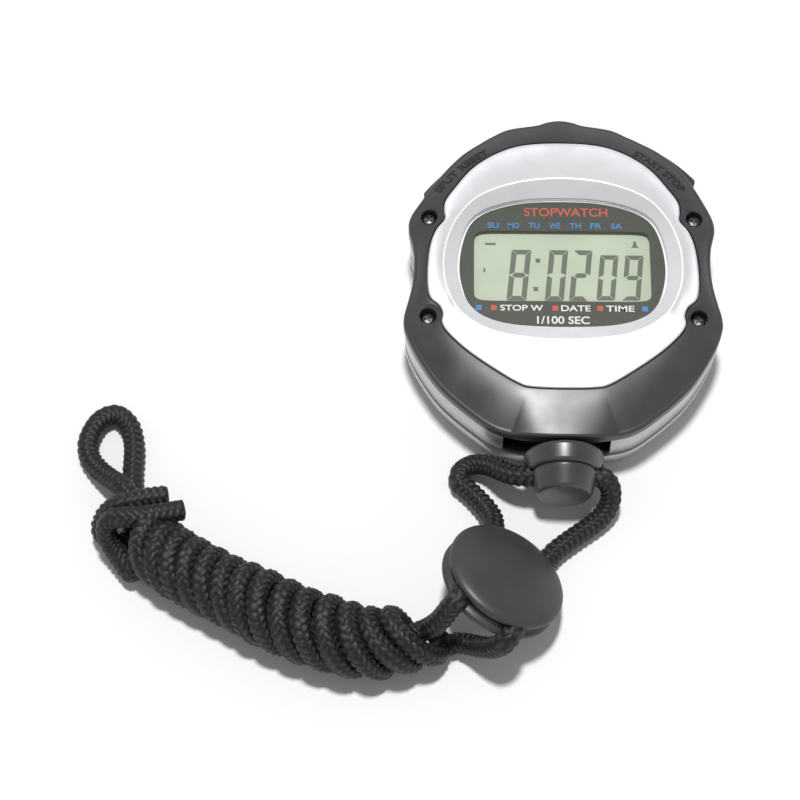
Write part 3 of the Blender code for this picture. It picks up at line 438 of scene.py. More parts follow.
def painted_silver(name, colour, roughness, coat, metallic):
    """Silver paint: tiny aluminium flakes under a thin clear coat."""
    shader = Shader(name, colour, roughness, metallic, Coat_Weight=coat, Coat_Roughness=0.12)
    flakes = shader.cells(0.09 * MM)
    low = tuple(0.93 * c for c in colour)
    high = tuple(min(1.0, 1.05 * c) for c in colour)
    shader.colour(shader.ramp(flakes, low, high, 0.0, 1.0))
    shader.roughness(shader.ramp(shader.noise(6 * MM, 3.0), roughness - 0.03, roughness + 0.04))
    shader.bump(shader.noise(0.12 * MM, 2.0), 0.003 * MM)
    return shader.material


def brushed(name, colour, roughness, along):
    """Metal with fine scratches that run along one axis."""
    shader = Shader(name, colour, roughness, 1.0)
    scale = [1.0, 1.0, 1.0]
    scale["XYZ".index(along)] = 0.04
    scratches = shader.noise(0.08 * MM, 2.0, shader.stretched(tuple(scale)))
    shader.roughness(shader.ramp(scratches, roughness - 0.08, roughness + 0.1))
    shader.bump(scratches, 0.004 * MM)
    return shader.material


def printed(name, colour, roughness=0.45):
    """Screen-printed ink, a little uneven."""
    shader = Shader(name, colour, roughness)
    speckle = shader.noise(0.25 * MM, 2.0)
    low = tuple(0.9 * c for c in colour)
    high = tuple(min(1.0, 1.06 * c) for c in colour)
    shader.colour(shader.ramp(speckle, low, high))
    return shader.material


def lcd_panel():
    """The display's polariser: pale grey-green with a faint cloud and a satin face."""
    shader = Shader("lcd_polariser", (0.57, 0.64, 0.52), 0.35, Coat_Weight=0.2, Coat_Roughness=0.2)
    cloud = shader.noise(11 * MM, 2.0)
    shader.colour(shader.ramp(cloud, (0.54, 0.595, 0.48), (0.61, 0.67, 0.55)))
    return shader.material


def zebra_rubber():
    """Alternate conductive and insulating stripes across the strip."""
    shader = Shader("zebra_strip", (0.2, 0.18, 0.25), 0.6)
    stripes = shader.tree.nodes.new("ShaderNodeTexWave")
    stripes.bands_direction = "X"
    stripes.inputs["Scale"].default_value = 1 / (3.6 * MM)
    shader.link(shader.place, stripes.inputs["Vector"])
    shader.colour(shader.ramp(stripes.outputs["Fac"], (0.02, 0.02, 0.02), (0.55, 0.45, 0.60), 0.4, 0.6))
    return shader.material


def solder_mask():
    """Green solder mask with lighter copper tracks under it."""
    shader = Shader("solder_mask", (0.03, 0.14, 0.05), 0.35)
    tracks = shader.cells(2.2 * MM, "Distance")
    shader.colour(shader.ramp(tracks, (0.06, 0.26, 0.10), (0.025, 0.13, 0.045), 0.30, 0.36))
    shader.bump(tracks, 0.02 * MM, 0.4)
    return shader.material


def lens_acrylic():
    """Clear acrylic: it lets light through, and only its outer faces mirror a little of it."""
    material = bpy.data.materials.new("lens_acrylic")
    material.use_nodes = True
    nodes, links = material.node_tree.nodes, material.node_tree.links
    nodes.clear()
    output = nodes.new("ShaderNodeOutputMaterial")
    mix = nodes.new("ShaderNodeMixShader")
    clear = nodes.new("ShaderNodeBsdfTransparent")
    clear.inputs["Color"].default_value = (0.97, 0.975, 0.965, 1.0)
    gloss = nodes.new("ShaderNodeBsdfGlossy")
    gloss.inputs["Roughness"].default_value = 0.05
    fresnel = nodes.new("ShaderNodeFresnel")
    fresnel.inputs["IOR"].default_value = 1.49
    outside = nodes.new("ShaderNodeMath")
    outside.operation = "SUBTRACT"
    outside.inputs[0].default_value = 1.0
    links.new(nodes.new("ShaderNodeNewGeometry").outputs["Backfacing"], outside.inputs[1])
    mirrored = nodes.new("ShaderNodeMath")
    mirrored.operation = "MULTIPLY"
    links.new(fresnel.outputs["Fac"], mirrored.inputs[0])
    links.new(outside.outputs["Value"], mirrored.inputs[1])
    links.new(mirrored.outputs["Value"], mix.inputs["Fac"])
    links.new(clear.outputs["BSDF"], mix.inputs[1])
    links.new(gloss.outputs["BSDF"], mix.inputs[2])
    links.new(mix.outputs["Shader"], output.inputs["Surface"])
    return material


def braided_nylon():
    """Black filament yarn: a soft sheen, fine fibres, strands that differ a little in darkness, and painted
    shade darkening the grooves between strands.
    """
    shader = Shader("braided_nylon", (0.022, 0.022, 0.026), 0.5, Sheen_Weight=0.05, Sheen_Roughness=0.4,
                    Specular_IOR_Level=0.45)
    # the point attribute mixes each strand's own darkness with painted shade in the grooves between strands
    tone_and_groove_shade = shader.tree.nodes.new("ShaderNodeAttribute")
    tone_and_groove_shade.attribute_name = "tone_and_groove_shade"
    low, high = (0.003, 0.003, 0.004), (0.060, 0.060, 0.068)
    shader.colour(shader.ramp(tone_and_groove_shade.outputs["Fac"], low, high, 0.0, 1.0))
    fibres = shader.noise(0.12 * MM, 2.0)
    shader.roughness(shader.ramp(fibres, 0.42, 0.62))
    shader.bump(fibres, 0.03 * MM)
    return shader.material


BLACK_BEZEL = moulded("satin_black_bezel", (0.046, 0.047, 0.049), 0.33)
BLACK_CROWN = moulded("satin_black_crown", (0.036, 0.037, 0.040), 0.34, relief=0.004 * MM,
                       Specular_IOR_Level=0.85)
BLACK_SLIDER = moulded("satin_black_slider", (0.038, 0.040, 0.042), 0.42, grain=0.22 * MM)
BLACK_BUTTON = moulded("matt_black_button", (0.028, 0.029, 0.030), 0.5)
# darker than the bezel: painted shade standing in for the shadow inside engraved letters
LABEL_SHADE_BLACK = moulded("label_painted_shade_black", (0.012, 0.012, 0.013), 0.35)
SILVER_CASE = painted_silver("silver_case_paint", (0.50, 0.50, 0.52), 0.36, 0.15, 0.82)
SILVER_PLATE = painted_silver("silver_plate_paint", (0.88, 0.88, 0.91), 0.43, 0.2, 0.64)
DARK_STEEL = brushed("black_nickel", (0.12, 0.12, 0.125), 0.38, "X")
STEEL = brushed("bright_steel", (0.62, 0.61, 0.60), 0.25, "Y")
LENS_CLEAR = lens_acrylic()
LENS_PRINT = printed("lens_mask_print", (0.0685, 0.071, 0.059), 0.4)
INK_RED = printed("ink_red", (0.62, 0.10, 0.07))
INK_BLUE = printed("ink_blue", (0.07, 0.26, 0.62))
INK_WHITE = printed("ink_white", (0.85, 0.85, 0.83))
CORD = braided_nylon()
RUBBER = moulded("gasket_rubber", (0.02, 0.02, 0.02), 0.7)
WHITE_PLASTIC = moulded("white_abs", (0.72, 0.72, 0.69), 0.45)
EPOXY = moulded("potting_resin", (0.008, 0.008, 0.008), 0.25, grain=1.5 * MM, relief=0.03 * MM)
CERAMIC = moulded("fired_ceramic", (0.68, 0.66, 0.58), 0.55, grain=0.1 * MM)
BRASS = brushed("spring_brass", (0.80, 0.60, 0.25), 0.3, "X")
FOIL = brushed("reflector_foil", (0.82, 0.82, 0.80), 0.35, "Y")
LCD_GLASS = lcd_panel()
LCD_SEGMENT = printed("lcd_segment", (0.155, 0.17, 0.135), 0.4)
ZEBRA = zebra_rubber()
BOARD = solder_mask()


# ---------------------------------------------------------------- camera, light and floor

def make_camera():
    data = bpy.data.cameras.new("camera")
    data.lens = CAMERA_LENS
    data.sensor_width = 36.0
    camera = bpy.data.objects.new("camera", data)
    bpy.context.scene.collection.objects.link(camera)
    turn = Matrix.Rotation(math.radians(-CAMERA_HEADING), 4, "Z")
    tilt = Matrix.Rotation(math.radians(90.0 - CAMERA_DOWN), 4, "X")
    roll = Matrix.Rotation(math.radians(CAMERA_ROLL), 4, "Z")
    camera.matrix_world = Matrix.Translation(CAMERA_AT) @ turn @ tilt @ roll
    bpy.context.scene.camera = camera


def make_light():
    data = bpy.data.lights.new("key", "AREA")
    data.shape = "DISK"
    data.size = KEY_SIZE
    data.energy = KEY_POWER
    light = bpy.data.objects.new("key", data)
    light.location = KEY_AT
    light.rotation_mode = "QUATERNION"
    light.rotation_quaternion = (Vector(KEY_AIM) - Vector(KEY_AT)).to_track_quat("-Z", "Y")
    bpy.context.scene.collection.objects.link(light)


def make_world():
    """Even soft light that is brighter near the horizon than overhead."""
    world = bpy.data.worlds.new("soft_room")
    bpy.context.scene.world = world
    world.use_nodes = True
    nodes, links = world.node_tree.nodes, world.node_tree.links
    background = nodes["Background"]
    direction = nodes.new("ShaderNodeTexCoord")
    height = nodes.new("ShaderNodeSeparateXYZ")
    ramp = nodes.new("ShaderNodeMapRange")
    ramp.inputs["From Min"].default_value = 0.0
    ramp.inputs["From Max"].default_value = 1.0
    ramp.inputs["To Min"].default_value = HORIZON_LIGHT
    ramp.inputs["To Max"].default_value = ZENITH_LIGHT
    links.new(direction.outputs["Generated"], height.inputs["Vector"])
    links.new(height.outputs["Z"], ramp.inputs["Value"])
    background.inputs["Color"].default_value = (0.98, 1.0, 0.98, 1.0)
    links.new(ramp.outputs["Result"], background.inputs["Strength"])


def make_floor():
    shader = Shader("pale_floor", (0.86, 0.86, 0.855), 0.6)
    shader.bump(shader.noise(0.7 * MM, 2.0), 0.004 * MM)
    half = FLOOR_HALF
    corners = [(-half, -half, 0.0), (half, -half, 0.0), (half, half, 0.0), (-half, half, 0.0)]
    floor = new_mesh_object("floor", corners, [(0, 1, 2, 3)])
    floor.data.materials.append(shader.material)


def make_set():
    make_camera()
    make_world()
    make_floor()
    make_light()
    bpy.context.scene.view_settings.view_transform = "Standard"


# ---------------------------------------------------------------- cords

def to_model(points):
    """Millimetres round the lens centre to metres in the model's frame."""
    return [tuple(np.array(p[:3]) * MM + (0.0, LENS_Y, 0.0)) for p in points]


def slider_axes():
    """Across the bores, along the bores and out of the dome, as unit vectors."""
    normal = Vector(SLIDER_NORMAL).normalized()
    along = Vector(SLIDER_BORE_AXIS)
    along = (along - along.dot(normal) * normal).normalized()
    return normal.cross(along), along, normal


def slider_matrix():
    turn = Matrix(slider_axes()).transposed().to_4x4()
    return Matrix.Translation(to_model([SLIDER_CENTRE])[0]) @ turn


def through_bore(side):
    """Points of a cord that runs straight through one bore, in millimetres."""
    across, along, normal = slider_axes()
    offset, drop = SLIDER_BORE_OFFSET
    middle = Vector(SLIDER_CENTRE) + side * offset * across + drop * normal
    return [tuple(middle + reach * along) for reach in (-12.3, -10.0, -6.0, 0.0, 6.0, 11.0)]


def hank_turns():
    """The winding: a helix of leaning turns round the hank's middle line, in millimetres."""
    line = even_path(HANK, 0.5)
    tangent = np.gradient(line[:, :2], axis=0)
    tangent /= np.linalg.norm(tangent, axis=1)[:, None]
    per_turn = 20
    count = int(HANK_TURNS * per_turn)
    share = np.linspace(0.0, 1.0, count + 1)
    progress = share + 0.05 * np.sin(math.pi * share)
    lean = 3.1
    uneven = np.interp(share * HANK_TURNS, np.arange(16), RNG.normal(0.0, 1.0, 16))
    points = []
    for s, k, odd in zip(progress, range(count + 1), uneven):
        phase = math.pi - TURN * k / per_turn
        at = min(s, 1.0) * (len(line) - 1)
        here = np.array([np.interp(at, np.arange(len(line)), line[:, c]) for c in range(3)])
        along = np.array([np.interp(at, np.arange(len(line)), tangent[:, c]) for c in range(2)])
        near = np.array([-along[1], along[0]])
        reach = here[2] - CORD_D / MM / 2 + 0.12 * odd
        shift = lean * math.cos(phase + math.radians(20.0)) + 0.22 * odd
        flat = here[:2] + reach * math.sin(phase) * near + shift * along
        points.append((*flat, here[2] + 0.05 + reach * math.cos(phase)))
    return points


def braided_tube(name, path):
    """A tube whose surface carries the raised strands of a braid, each over two and under two, with painted
    shade darkening the grooves between strands.
    """
    step_count = len(path)
    tangent = np.gradient(path, axis=0)
    tangent /= np.linalg.norm(tangent, axis=1)[:, None]
    normal = np.zeros_like(path)
    side = np.cross(tangent[0], (0.0, 0.0, 1.0))
    normal[0] = side / np.linalg.norm(side)
    for k in range(1, step_count):
        carried = normal[k - 1] - np.dot(normal[k - 1], tangent[k]) * tangent[k]
        normal[k] = carried / np.linalg.norm(carried)
    binormal = np.cross(tangent, normal)
    length = np.concatenate([[0.0], np.cumsum(np.linalg.norm(np.diff(path, axis=0), axis=1))])
    around = np.arange(BRAID_SIDES) / BRAID_SIDES
    first = STRANDS * around[None, :] + length[:, None] / BRAID_PITCH
    second = STRANDS * around[None, :] - length[:, None] / BRAID_PITCH
    i, j = np.floor(first), np.floor(second)
    u, v = first - i, second - j
    step = (i + j) % 4
    first_on_top = step < 2
    across = np.where(first_on_top, u, v)
    float_share = np.where(first_on_top, (step + v) / 2, (step - 2 + u) / 2)
    crown = (1.0 - np.abs(2 * across - 1) ** 2.2) * np.sin(math.pi * float_share) ** 0.6
    radius = CORD_D / 2 - BRAID_RELIEF * (1.0 - crown)
    strand = np.where(first_on_top, i % STRANDS, STRANDS + j % STRANDS).astype(int)
    strand_tone = RNG.uniform(0.35, 0.75, 2 * STRANDS)
    # colour drops where a strand's crown falls into the grooves between strands, which is painted shade;
    # strand_tone is each strand's own random darkness
    tone_and_groove_shade = strand_tone[strand] * (0.05 + 0.95 * crown ** 3) + RNG.normal(0.0, 0.03, crown.shape)
    angle = TURN * around
    spoke = (normal[:, None, :] * np.cos(angle)[None, :, None]
             + binormal[:, None, :] * np.sin(angle)[None, :, None])
    rings = path[:, None, :] + radius[:, :, None] * spoke
    cap = []
    for end, way in ((0, -1.0), (-1, 1.0)):
        for reach, share in ((0.25, 0.93), (0.42, 0.72), (0.5, 0.35)):
            cap.append(path[end] + way * reach * MM * tangent[end] + share * (rings[end] - path[end]))
    rings = np.concatenate([[cap[2], cap[1], cap[0]], rings, cap[3:]])
    tone_and_groove_shade = np.concatenate([np.full((3, BRAID_SIDES), 0.3), tone_and_groove_shade, np.full((3, BRAID_SIDES), 0.3)])
    obj = loft(name, rings, sharp_angle=180.0)
    layer = obj.data.attributes.new("tone_and_groove_shade", "FLOAT", "POINT")
    layer.data.foreach_set("value", tone_and_groove_shade.reshape(-1).astype(np.float32))
    return obj


def make_cords(slider_shells):
    core = [(x, y, radius + 0.05) for x, y, radius in HANK[1:]]
    left = [*LEFT_TO_SLIDER, *through_bore(-1), *LEFT_TO_HANK, *core]
    left_path = even_path(to_model([*left, *CORE_TO_LOOP, *END_LOOP, *LEFT_KNOT]), BRAID_STEP)
    approach = even_path(to_model([*RIGHT_TO_SLIDER, *through_bore(1), *RIGHT_TO_HANK]), 2.4 * MM)
    knot = even_path(to_model(RIGHT_KNOT), 2.4 * MM)
    right = np.vstack([approach, to_model(hank_turns()), knot])
    right_path = even_path(right, BRAID_STEP, per_span=8)
    left_cord = braided_tube("neck_cord_left", left_path)
    right_cord = braided_tube("neck_cord_right", right_path)
    finish_piece(left_cord, CORD, replaces=("cord_left_run", "cord_end_loop"))
    finish_piece(right_cord, CORD, replaces=("cord_right_run", "cord_hank"))


def make_slider():
    """Two turned halves with a parting groove between them.

    The bore profiles run bottom to top, so their cutters are inside out and remove nothing: both
    halves stay solid where the cords pass. Bores need the two points of each profile swapped.
    """
    shells = []
    offset, drop = SLIDER_BORE_OFFSET
    for name, node, way in (("slider_dome", "slider_upper_shell", 1),
                            ("slider_base", "slider_lower_shell", -1)):
        profile = [(r * MM, z * MM) for r, z in catmull_rom(SLIDER_HALF, closed=False, per_span=6)]
        profile.append((0.2 * MM, SLIDER_HALF[-1][1] * MM))
        shell = turned(name, profile, 128, slider_matrix() @ Matrix.Diagonal((1, 1, way, 1)))
        fix_normals(shell)
        bores = []
        for side in (-1, 1):
            turn = Matrix.Rotation(math.pi / 2, 4, "X")
            middle = Matrix.Translation((side * offset * MM, 0, drop * MM))
            bore = [(SLIDER_BORE, -20 * MM), (SLIDER_BORE, 20 * MM)]
            bores.append(turned("bore", bore, 48, slider_matrix() @ middle @ turn))
        carve(shell, bores)
        finish_piece(shell, BLACK_SLIDER, "cord_slider", replaces=(node,))
        shells.append(shell)
    return shells


# ---------------------------------------------------------------- case

def collar(y):
    """Half width and crest height of the arched collar, in metres, at a distance y from the lens centre."""
    (back, back_half, back_crest), (front, front_half, front_crest) = COLLAR_BACK, COLLAR_FRONT
    share = np.clip((y - back) / (front - back), 0.0, 1.0)
    return back_half + share * (front_half - back_half), back_crest + share * (front_crest - back_crest)


def bezel_height(x, y):
    """Height of the bezel's top at plan points round the lens centre, in metres."""
    theta = np.degrees(np.arctan2(y, x)) % 360.0
    inner = np.interp(theta, ANGLES, PLATE, period=360.0) + GAP
    outer = np.interp(theta, ANGLES, CASE, period=360.0)
    share = np.clip((np.hypot(x, y) - inner) / (outer - inner), 0.0, 1.0)
    lower = np.clip((-y - 14.0 * MM) / (16.0 * MM), 0.0, 1.0)
    rim = RIM_TOP - RIM_DROP * lower * lower * (3 - 2 * lower)
    facet = BEZEL_TOP - (BEZEL_TOP - rim) * share ** 1.35
    half, crest = collar(y)
    swell = np.clip(1.0 - (x / half) ** 2, 0.0, 1.0) ** 0.8
    raised = facet + (crest - facet) * swell
    return np.where((y < -20 * MM) & (np.abs(x) < half), raised, facet)


def plan_ring(radii, height):
    """A ring whose height is a function of the plan position."""
    theta = np.radians(ANGLES)
    x, y = radii * np.cos(theta), radii * np.sin(theta)
    return np.stack([x, y + LENS_Y, height(x, y)], axis=1)


def screw_centres():
    return [(side * SCREW_X, y) for y in SCREW_Y for side in (-1, 1)]


def upright(name, profile, centre, sides=48):
    """A turned solid standing at a plan point round the lens centre."""
    return turned(name, profile, sides, Matrix.Translation((centre[0], centre[1] + LENS_Y, 0)))


def pillars(radius, low, high, sides=40):
    return [upright("pillar", [(radius, low), (radius, high)], c, sides) for c in screw_centres()]


def make_bezel():
    edge = 0.7 * MM
    inner = PLATE + GAP
    rings = [plan_ring(inner, lambda x, y: bezel_height(x, y) - 0.12 * MM)]
    for share in np.linspace(0.0, 1.0, 30):
        first = 0.12 * MM if share == 0.0 else 0.0
        rings.append(plan_ring(inner + first + share * (CASE - edge - inner - first), bezel_height))
    for degrees in range(15, 91, 15):
        a = math.radians(degrees)
        drop = edge * (1.0 - math.cos(a))
        rings.append(plan_ring(CASE - edge + edge * math.sin(a),
                               lambda x, y, d=drop: edge_height(x, y, edge) - d))
    ledge = LENS + 2.0 * MM
    rings += [ring(CASE, BEZEL_LOW + 0.15 * MM), ring(CASE - 0.15 * MM, BEZEL_LOW),
              ring(CASE - WALL, BEZEL_LOW), ring(CASE - WALL, 13.3 * MM),
              ring(CASE - 5 * MM, 13.9 * MM), ring(ledge, LEDGE_LOW), ring(ledge, LEDGE_TOP),
              ring(inner, LEDGE_TOP)]
    bezel = loft("bezel_moulding", rings, hollow=True, sharp_angle=28.0)
    carve(bezel, pillars(PILLAR, BEZEL_LOW, 14.6 * MM), "UNION")
    wells = pillars(SCREW_WELL, SCREW_SEAT, 18 * MM) + pillars(SCREW_HOLE, 12 * MM, 14.2 * MM, 24)
    for x, y in screw_centres():
        top = float(bezel_height(np.array(x), np.array(y)))
        mouth = [(1.7 * MM, top - 0.3 * MM), (2.05 * MM, top + 0.05 * MM), (2.6 * MM, top + 0.6 * MM)]
        wells.append(upright("mouth", mouth, (x, y)))
    carve(bezel, wells)
    finish_piece(bezel, BLACK_BEZEL, replaces=("bezel",))


def edge_height(x, y, edge):
    """Height of the bezel where its top turns over into its side, for points near the edge."""
    theta = np.arctan2(y, x)
    outer = np.interp(np.degrees(theta) % 360.0, ANGLES, CASE, period=360.0) - edge
    return bezel_height(outer * np.cos(theta), outer * np.sin(theta))


def make_labels():
    """Raised words that follow the bezel above the two upper buttons, in a darker black that paints the shade
    inside engraved letters.
    """
    for name, word, start, end in (("label_split_reset", "SPLIT RESET", 145.4, 119.4),
                                   ("label_start_stop", "START STOP", 60.4, 36.1)):
        radius = 31.0 * MM
        width = math.radians(start - end) * radius
        mesh = word_mesh(word, width, 1.9 * MM)
        flat = mesh_points(mesh)
        middle = (flat[:, 0].min() + flat[:, 0].max()) / 2
        theta = math.radians((start + end) / 2) - (flat[:, 0] - middle) / radius
        reach = radius + flat[:, 1] - 0.95 * MM
        x, y = reach * np.cos(theta), reach * np.sin(theta)
        lift = np.where(flat[:, 2] > 0, 0.13 * MM, -0.25 * MM)
        set_points(mesh, np.stack([x, y + LENS_Y, bezel_height(x, y) + lift], axis=1))
        label = object_of(name, mesh)
        finish_piece(label, LABEL_SHADE_BLACK)


def make_face_plate():
    inner = LENS + 0.35 * MM
    flange = LENS + 1.4 * MM
    edge = ((0.0, 17.15), (0.05, 17.32), (0.18, 17.44), (0.4, 17.5))
    rings = [ring(PLATE - inset * MM, z * MM) for inset, z in edge]
    ridge, foot = round_the_lens(RIDGE_HEIGHTS), round_the_lens(DISH_HEIGHTS)
    # share of the way across the plate's slope and the dish's slope, and share of their rise
    slope = ((0.06, 0.02), (0.25, 0.10), (0.5, 0.28), (0.68, 0.48), (0.8, 0.66), (0.9, 0.84),
             (0.96, 0.95), (1.0, 1.0))
    for share, rise in catmull_rom(slope, closed=False, per_span=3):
        radii = (1 - share) * (PLATE - 0.4 * MM) + share * RIDGE
        rings.append(ring(radii, PLATE_TOP + rise * (ridge - PLATE_TOP)))
    dish = ((0.0, 1.0), (0.06, 0.985), (0.14, 0.915), (0.3, 0.745), (0.6, 0.425), (0.85, 0.16),
            (1.0, 0.0))
    for share, rise in catmull_rom(dish, closed=False, per_span=3)[1:]:
        rings.append(ring((1 - share) * RIDGE + share * inner, foot + rise * (ridge - foot)))
    opening = LENS - 1.2 * MM
    rings += [ring(inner - 0.1 * MM, foot - 0.09 * MM), ring(inner - 0.1 * MM, SHELF_TOP),
              ring(opening, SHELF_TOP), ring(opening, SHELF_LOW), ring(flange, SHELF_LOW),
              ring(flange, PLATE_UNDER), ring(PLATE, PLATE_UNDER)]
    plate = loft("face_plate_moulding", rings, hollow=True, sharp_angle=38.0)
    finish_piece(plate, SILVER_PLATE, replaces=("face_plate",))


def make_lens():
    rings = [ring(LENS, LENS_LOW), ring(LENS, LENS_TOP - 0.3 * MM),
             ring(LENS - 0.08 * MM, LENS_TOP - 0.1 * MM), ring(LENS - 0.3 * MM, LENS_TOP)]
    lens = loft("lens_clear", rings, sharp_angle=10.0)
    finish_piece(lens, LENS_CLEAR, replaces=("lens_window",))
    low, high = np.array(WINDOW_LOW) * MM, np.array(WINDOW_HIGH) * MM
    theta = np.radians(ANGLES)
    across, up = np.cos(theta), np.sin(theta)
    reach_x = high[0] / np.maximum(np.abs(across), 1e-6)
    reach_y = np.where(up > 0, high[1], -low[1]) / np.maximum(np.abs(up), 1e-6)
    hole = (reach_x ** -14 + reach_y ** -14) ** (-1 / 14)
    edge = LENS - 0.15 * MM
    sheet = [ring(edge, MASK_LOW), ring(edge, MASK_TOP), ring(hole, MASK_TOP), ring(hole, MASK_LOW)]
    mask = loft("lens_print", sheet, hollow=True)
    finish_piece(mask, LENS_PRINT)


# ---------------------------------------------------------------- printing and the display

def object_of(name, mesh):
    obj = bpy.data.objects.new(name, mesh)
    bpy.context.scene.collection.objects.link(obj)
    return obj


def mesh_points(mesh):
    flat = np.empty(len(mesh.vertices) * 3)
    mesh.vertices.foreach_get("co", flat)
    return flat.reshape(-1, 3)


def set_points(mesh, points):
    mesh.vertices.foreach_set("co", np.asarray(points).reshape(-1))
    mesh.update()


def word_mesh(word, width, height, weight=0.018):
    """A word as a thin slab, sized to a width and a capital height, with its lower left corner at 0."""
    curve = bpy.data.curves.new(word, "FONT")
    curve.body = word
    curve.extrude = 0.5
    curve.offset = weight
    curve.resolution_u = 6
    obj = object_of(word, curve)
    bpy.context.view_layer.update()
    graph = bpy.context.evaluated_depsgraph_get()
    mesh = bpy.data.meshes.new_from_object(obj.evaluated_get(graph))
    bpy.data.objects.remove(obj, do_unlink=True)
    bpy.data.curves.remove(curve)
    points = mesh_points(mesh)
    low, high = points.min(axis=0), points.max(axis=0)
    scale = np.array([width / (high[0] - low[0]), height / (high[1] - low[1]), 1.0])
    set_points(mesh, (points - (low[0], low[1], 0.0)) * scale)
    return mesh


def flat_print(name, mesh, centre, base, thick, material):
    """Lay a word or a shape flat, centred on a plan point given in millimetres."""
    points = mesh_points(mesh)
    middle = (points.min(axis=0) + points.max(axis=0)) / 2
    points[:, 0] += centre[0] * MM - middle[0]
    points[:, 1] += centre[1] * MM - middle[1] + LENS_Y
    points[:, 2] = np.where(points[:, 2] > middle[2], base + thick, base)
    set_points(mesh, points)
    return finish_piece(object_of(name, mesh), material)


def slab(polygons):
    """A mesh of flat polygons, in millimetres, one unit thick."""
    vertices, faces = [], []
    for polygon in polygons:
        start, count = len(vertices), len(polygon)
        vertices += [(x * MM, y * MM, 0.0) for x, y in polygon]
        vertices += [(x * MM, y * MM, 1.0) for x, y in polygon]
        faces.append([start + k for k in range(count)][::-1])
        faces.append([start + count + k for k in range(count)])
        for k in range(count):
            n = (k + 1) % count
            faces.append([start + k, start + n, start + count + n, start + count + k])
    mesh = bpy.data.meshes.new("slab")
    mesh.from_pydata(vertices, [], faces)
    return mesh


SEGMENTS = {"0": "abcdef", "2": "abdeg", "8": "abcdefg", "9": "abcdfg"}


def digit(character, left, width, low, high, stroke):
    """The lit segments of one leaning seven-segment digit."""
    gap, half = 0.07, stroke / 2
    mid = (low + high) / 2
    slant = 1.15 / 11.7
    start, end = gap, width - gap
    outer_top, inner_top = high - gap, high - stroke - gap
    upper = [(0, mid + gap), (stroke, mid + gap + half), (stroke, inner_top), (0, outer_top)]
    lower = [(0, low + gap), (stroke, low + stroke + gap), (stroke, mid - gap - half), (0, mid - gap)]
    a, b = start + stroke, end - stroke
    made = {"a": [(start, high), (end, high), (b, high - stroke), (a, high - stroke)],
            "d": [(a, low + stroke), (b, low + stroke), (end, low), (start, low)],
            "g": [(start + half, mid), (a, mid + half), (b, mid + half), (end - half, mid),
                  (b, mid - half), (a, mid - half)],
            "f": upper, "b": [(width - x, y) for x, y in reversed(upper)],
            "e": lower, "c": [(width - x, y) for x, y in reversed(lower)]}
    return [[(left + x + (y - low) * slant, y) for x, y in made[name]] for name in SEGMENTS[character]]


def square(x, y, size):
    r = size / 2
    return [(x - r, y - r), (x + r, y - r), (x + r, y + r), (x - r, y + r)]


def make_display():
    shapes = []
    for character, left, right in (("8", -11.3, -7.3), ("0", -3.6, 0.2), ("2", 1.3, 5.1)):
        shapes += digit(character, left, right - left, -6.7, 5.05, 1.08)
    for character, left, right in (("0", 6.8, 10.5), ("9", 11.9, 15.6)):
        shapes += digit(character, left, right - left, -6.5, 3.95, 1.0)
    shapes += [square(-4.86, 2.58, 0.95), square(-5.36, -4.01, 0.95)]
    shapes += [[(-15.6, 6.15), (-13.4, 6.15), (-13.4, 6.65), (-15.6, 6.65)]]
    shapes += [[(-15.95, -0.2), (-15.6, -0.2), (-15.5, 0.8), (-15.85, 0.8)]]
    bell = [(14.05, 5.75), (15.75, 5.75), (15.3, 6.2), (15.2, 7.0), (14.9, 7.35), (14.6, 7.0),
            (14.5, 6.2)]
    shapes += [bell]
    mesh = slab(shapes)
    points = mesh_points(mesh)
    points[:, 1] += LENS_Y
    points[:, 2] = GLASS_TOP + 0.01 * MM + 0.02 * MM * points[:, 2]
    set_points(mesh, points)
    finish_piece(object_of("lcd_digits", mesh), LCD_SEGMENT)


def make_printing():
    base, thick = MASK_TOP + 0.01 * MM, 0.02 * MM
    title = word_mesh("STOPWATCH", 17.0 * MM, 2.0 * MM, 0.012)
    flat_print("print_title", title, (0.9, 13.3), base, thick, INK_RED)
    for k, day in enumerate(("SU", "MO", "TU", "WE", "TH", "FR", "SA")):
        mesh = word_mesh(day, 2.25 * MM, 1.3 * MM)
        centre = (-14.0 + 4.2 * k, 10.1)
        flat_print("print_day_" + day.lower(), mesh, centre, base, thick, INK_BLUE)
    for name, word, left, right in (("stop", "STOP W", -12.6, -4.0), ("date", "DATE", -0.4, 5.5),
                                    ("time", "TIME", 8.6, 14.3)):
        mesh = word_mesh(word, (right - left) * MM, 1.35 * MM)
        flat_print("print_" + name, mesh, ((left + right) / 2, -9.0), base, thick, INK_WHITE)
    flat_print("print_scale", word_mesh("1/100 SEC", 10.5 * MM, 1.75 * MM), (0.0, -11.7), base, thick,
               INK_WHITE)
    for name, places, ink in (("blue", (-16.9, 16.4), INK_BLUE), ("red", (-13.9, -1.55, 7.4), INK_RED)):
        mesh = slab([square(x, 0.0, 1.15) for x in places])
        points = mesh_points(mesh)
        points[:, 1] += LENS_Y - 9.0 * MM
        points[:, 2] = base + thick * points[:, 2]
        set_points(mesh, points)
        finish_piece(object_of("print_marks_" + name, mesh), ink)


# ---------------------------------------------------------------- bands, back and gasket

def button_matrix(angle, wall_radius):
    turn = Matrix.Rotation(math.radians(angle - 90), 4, "Z")
    return Matrix.Translation((0, LENS_Y, 0)) @ turn @ Matrix.Translation((0, wall_radius * MM, 0))


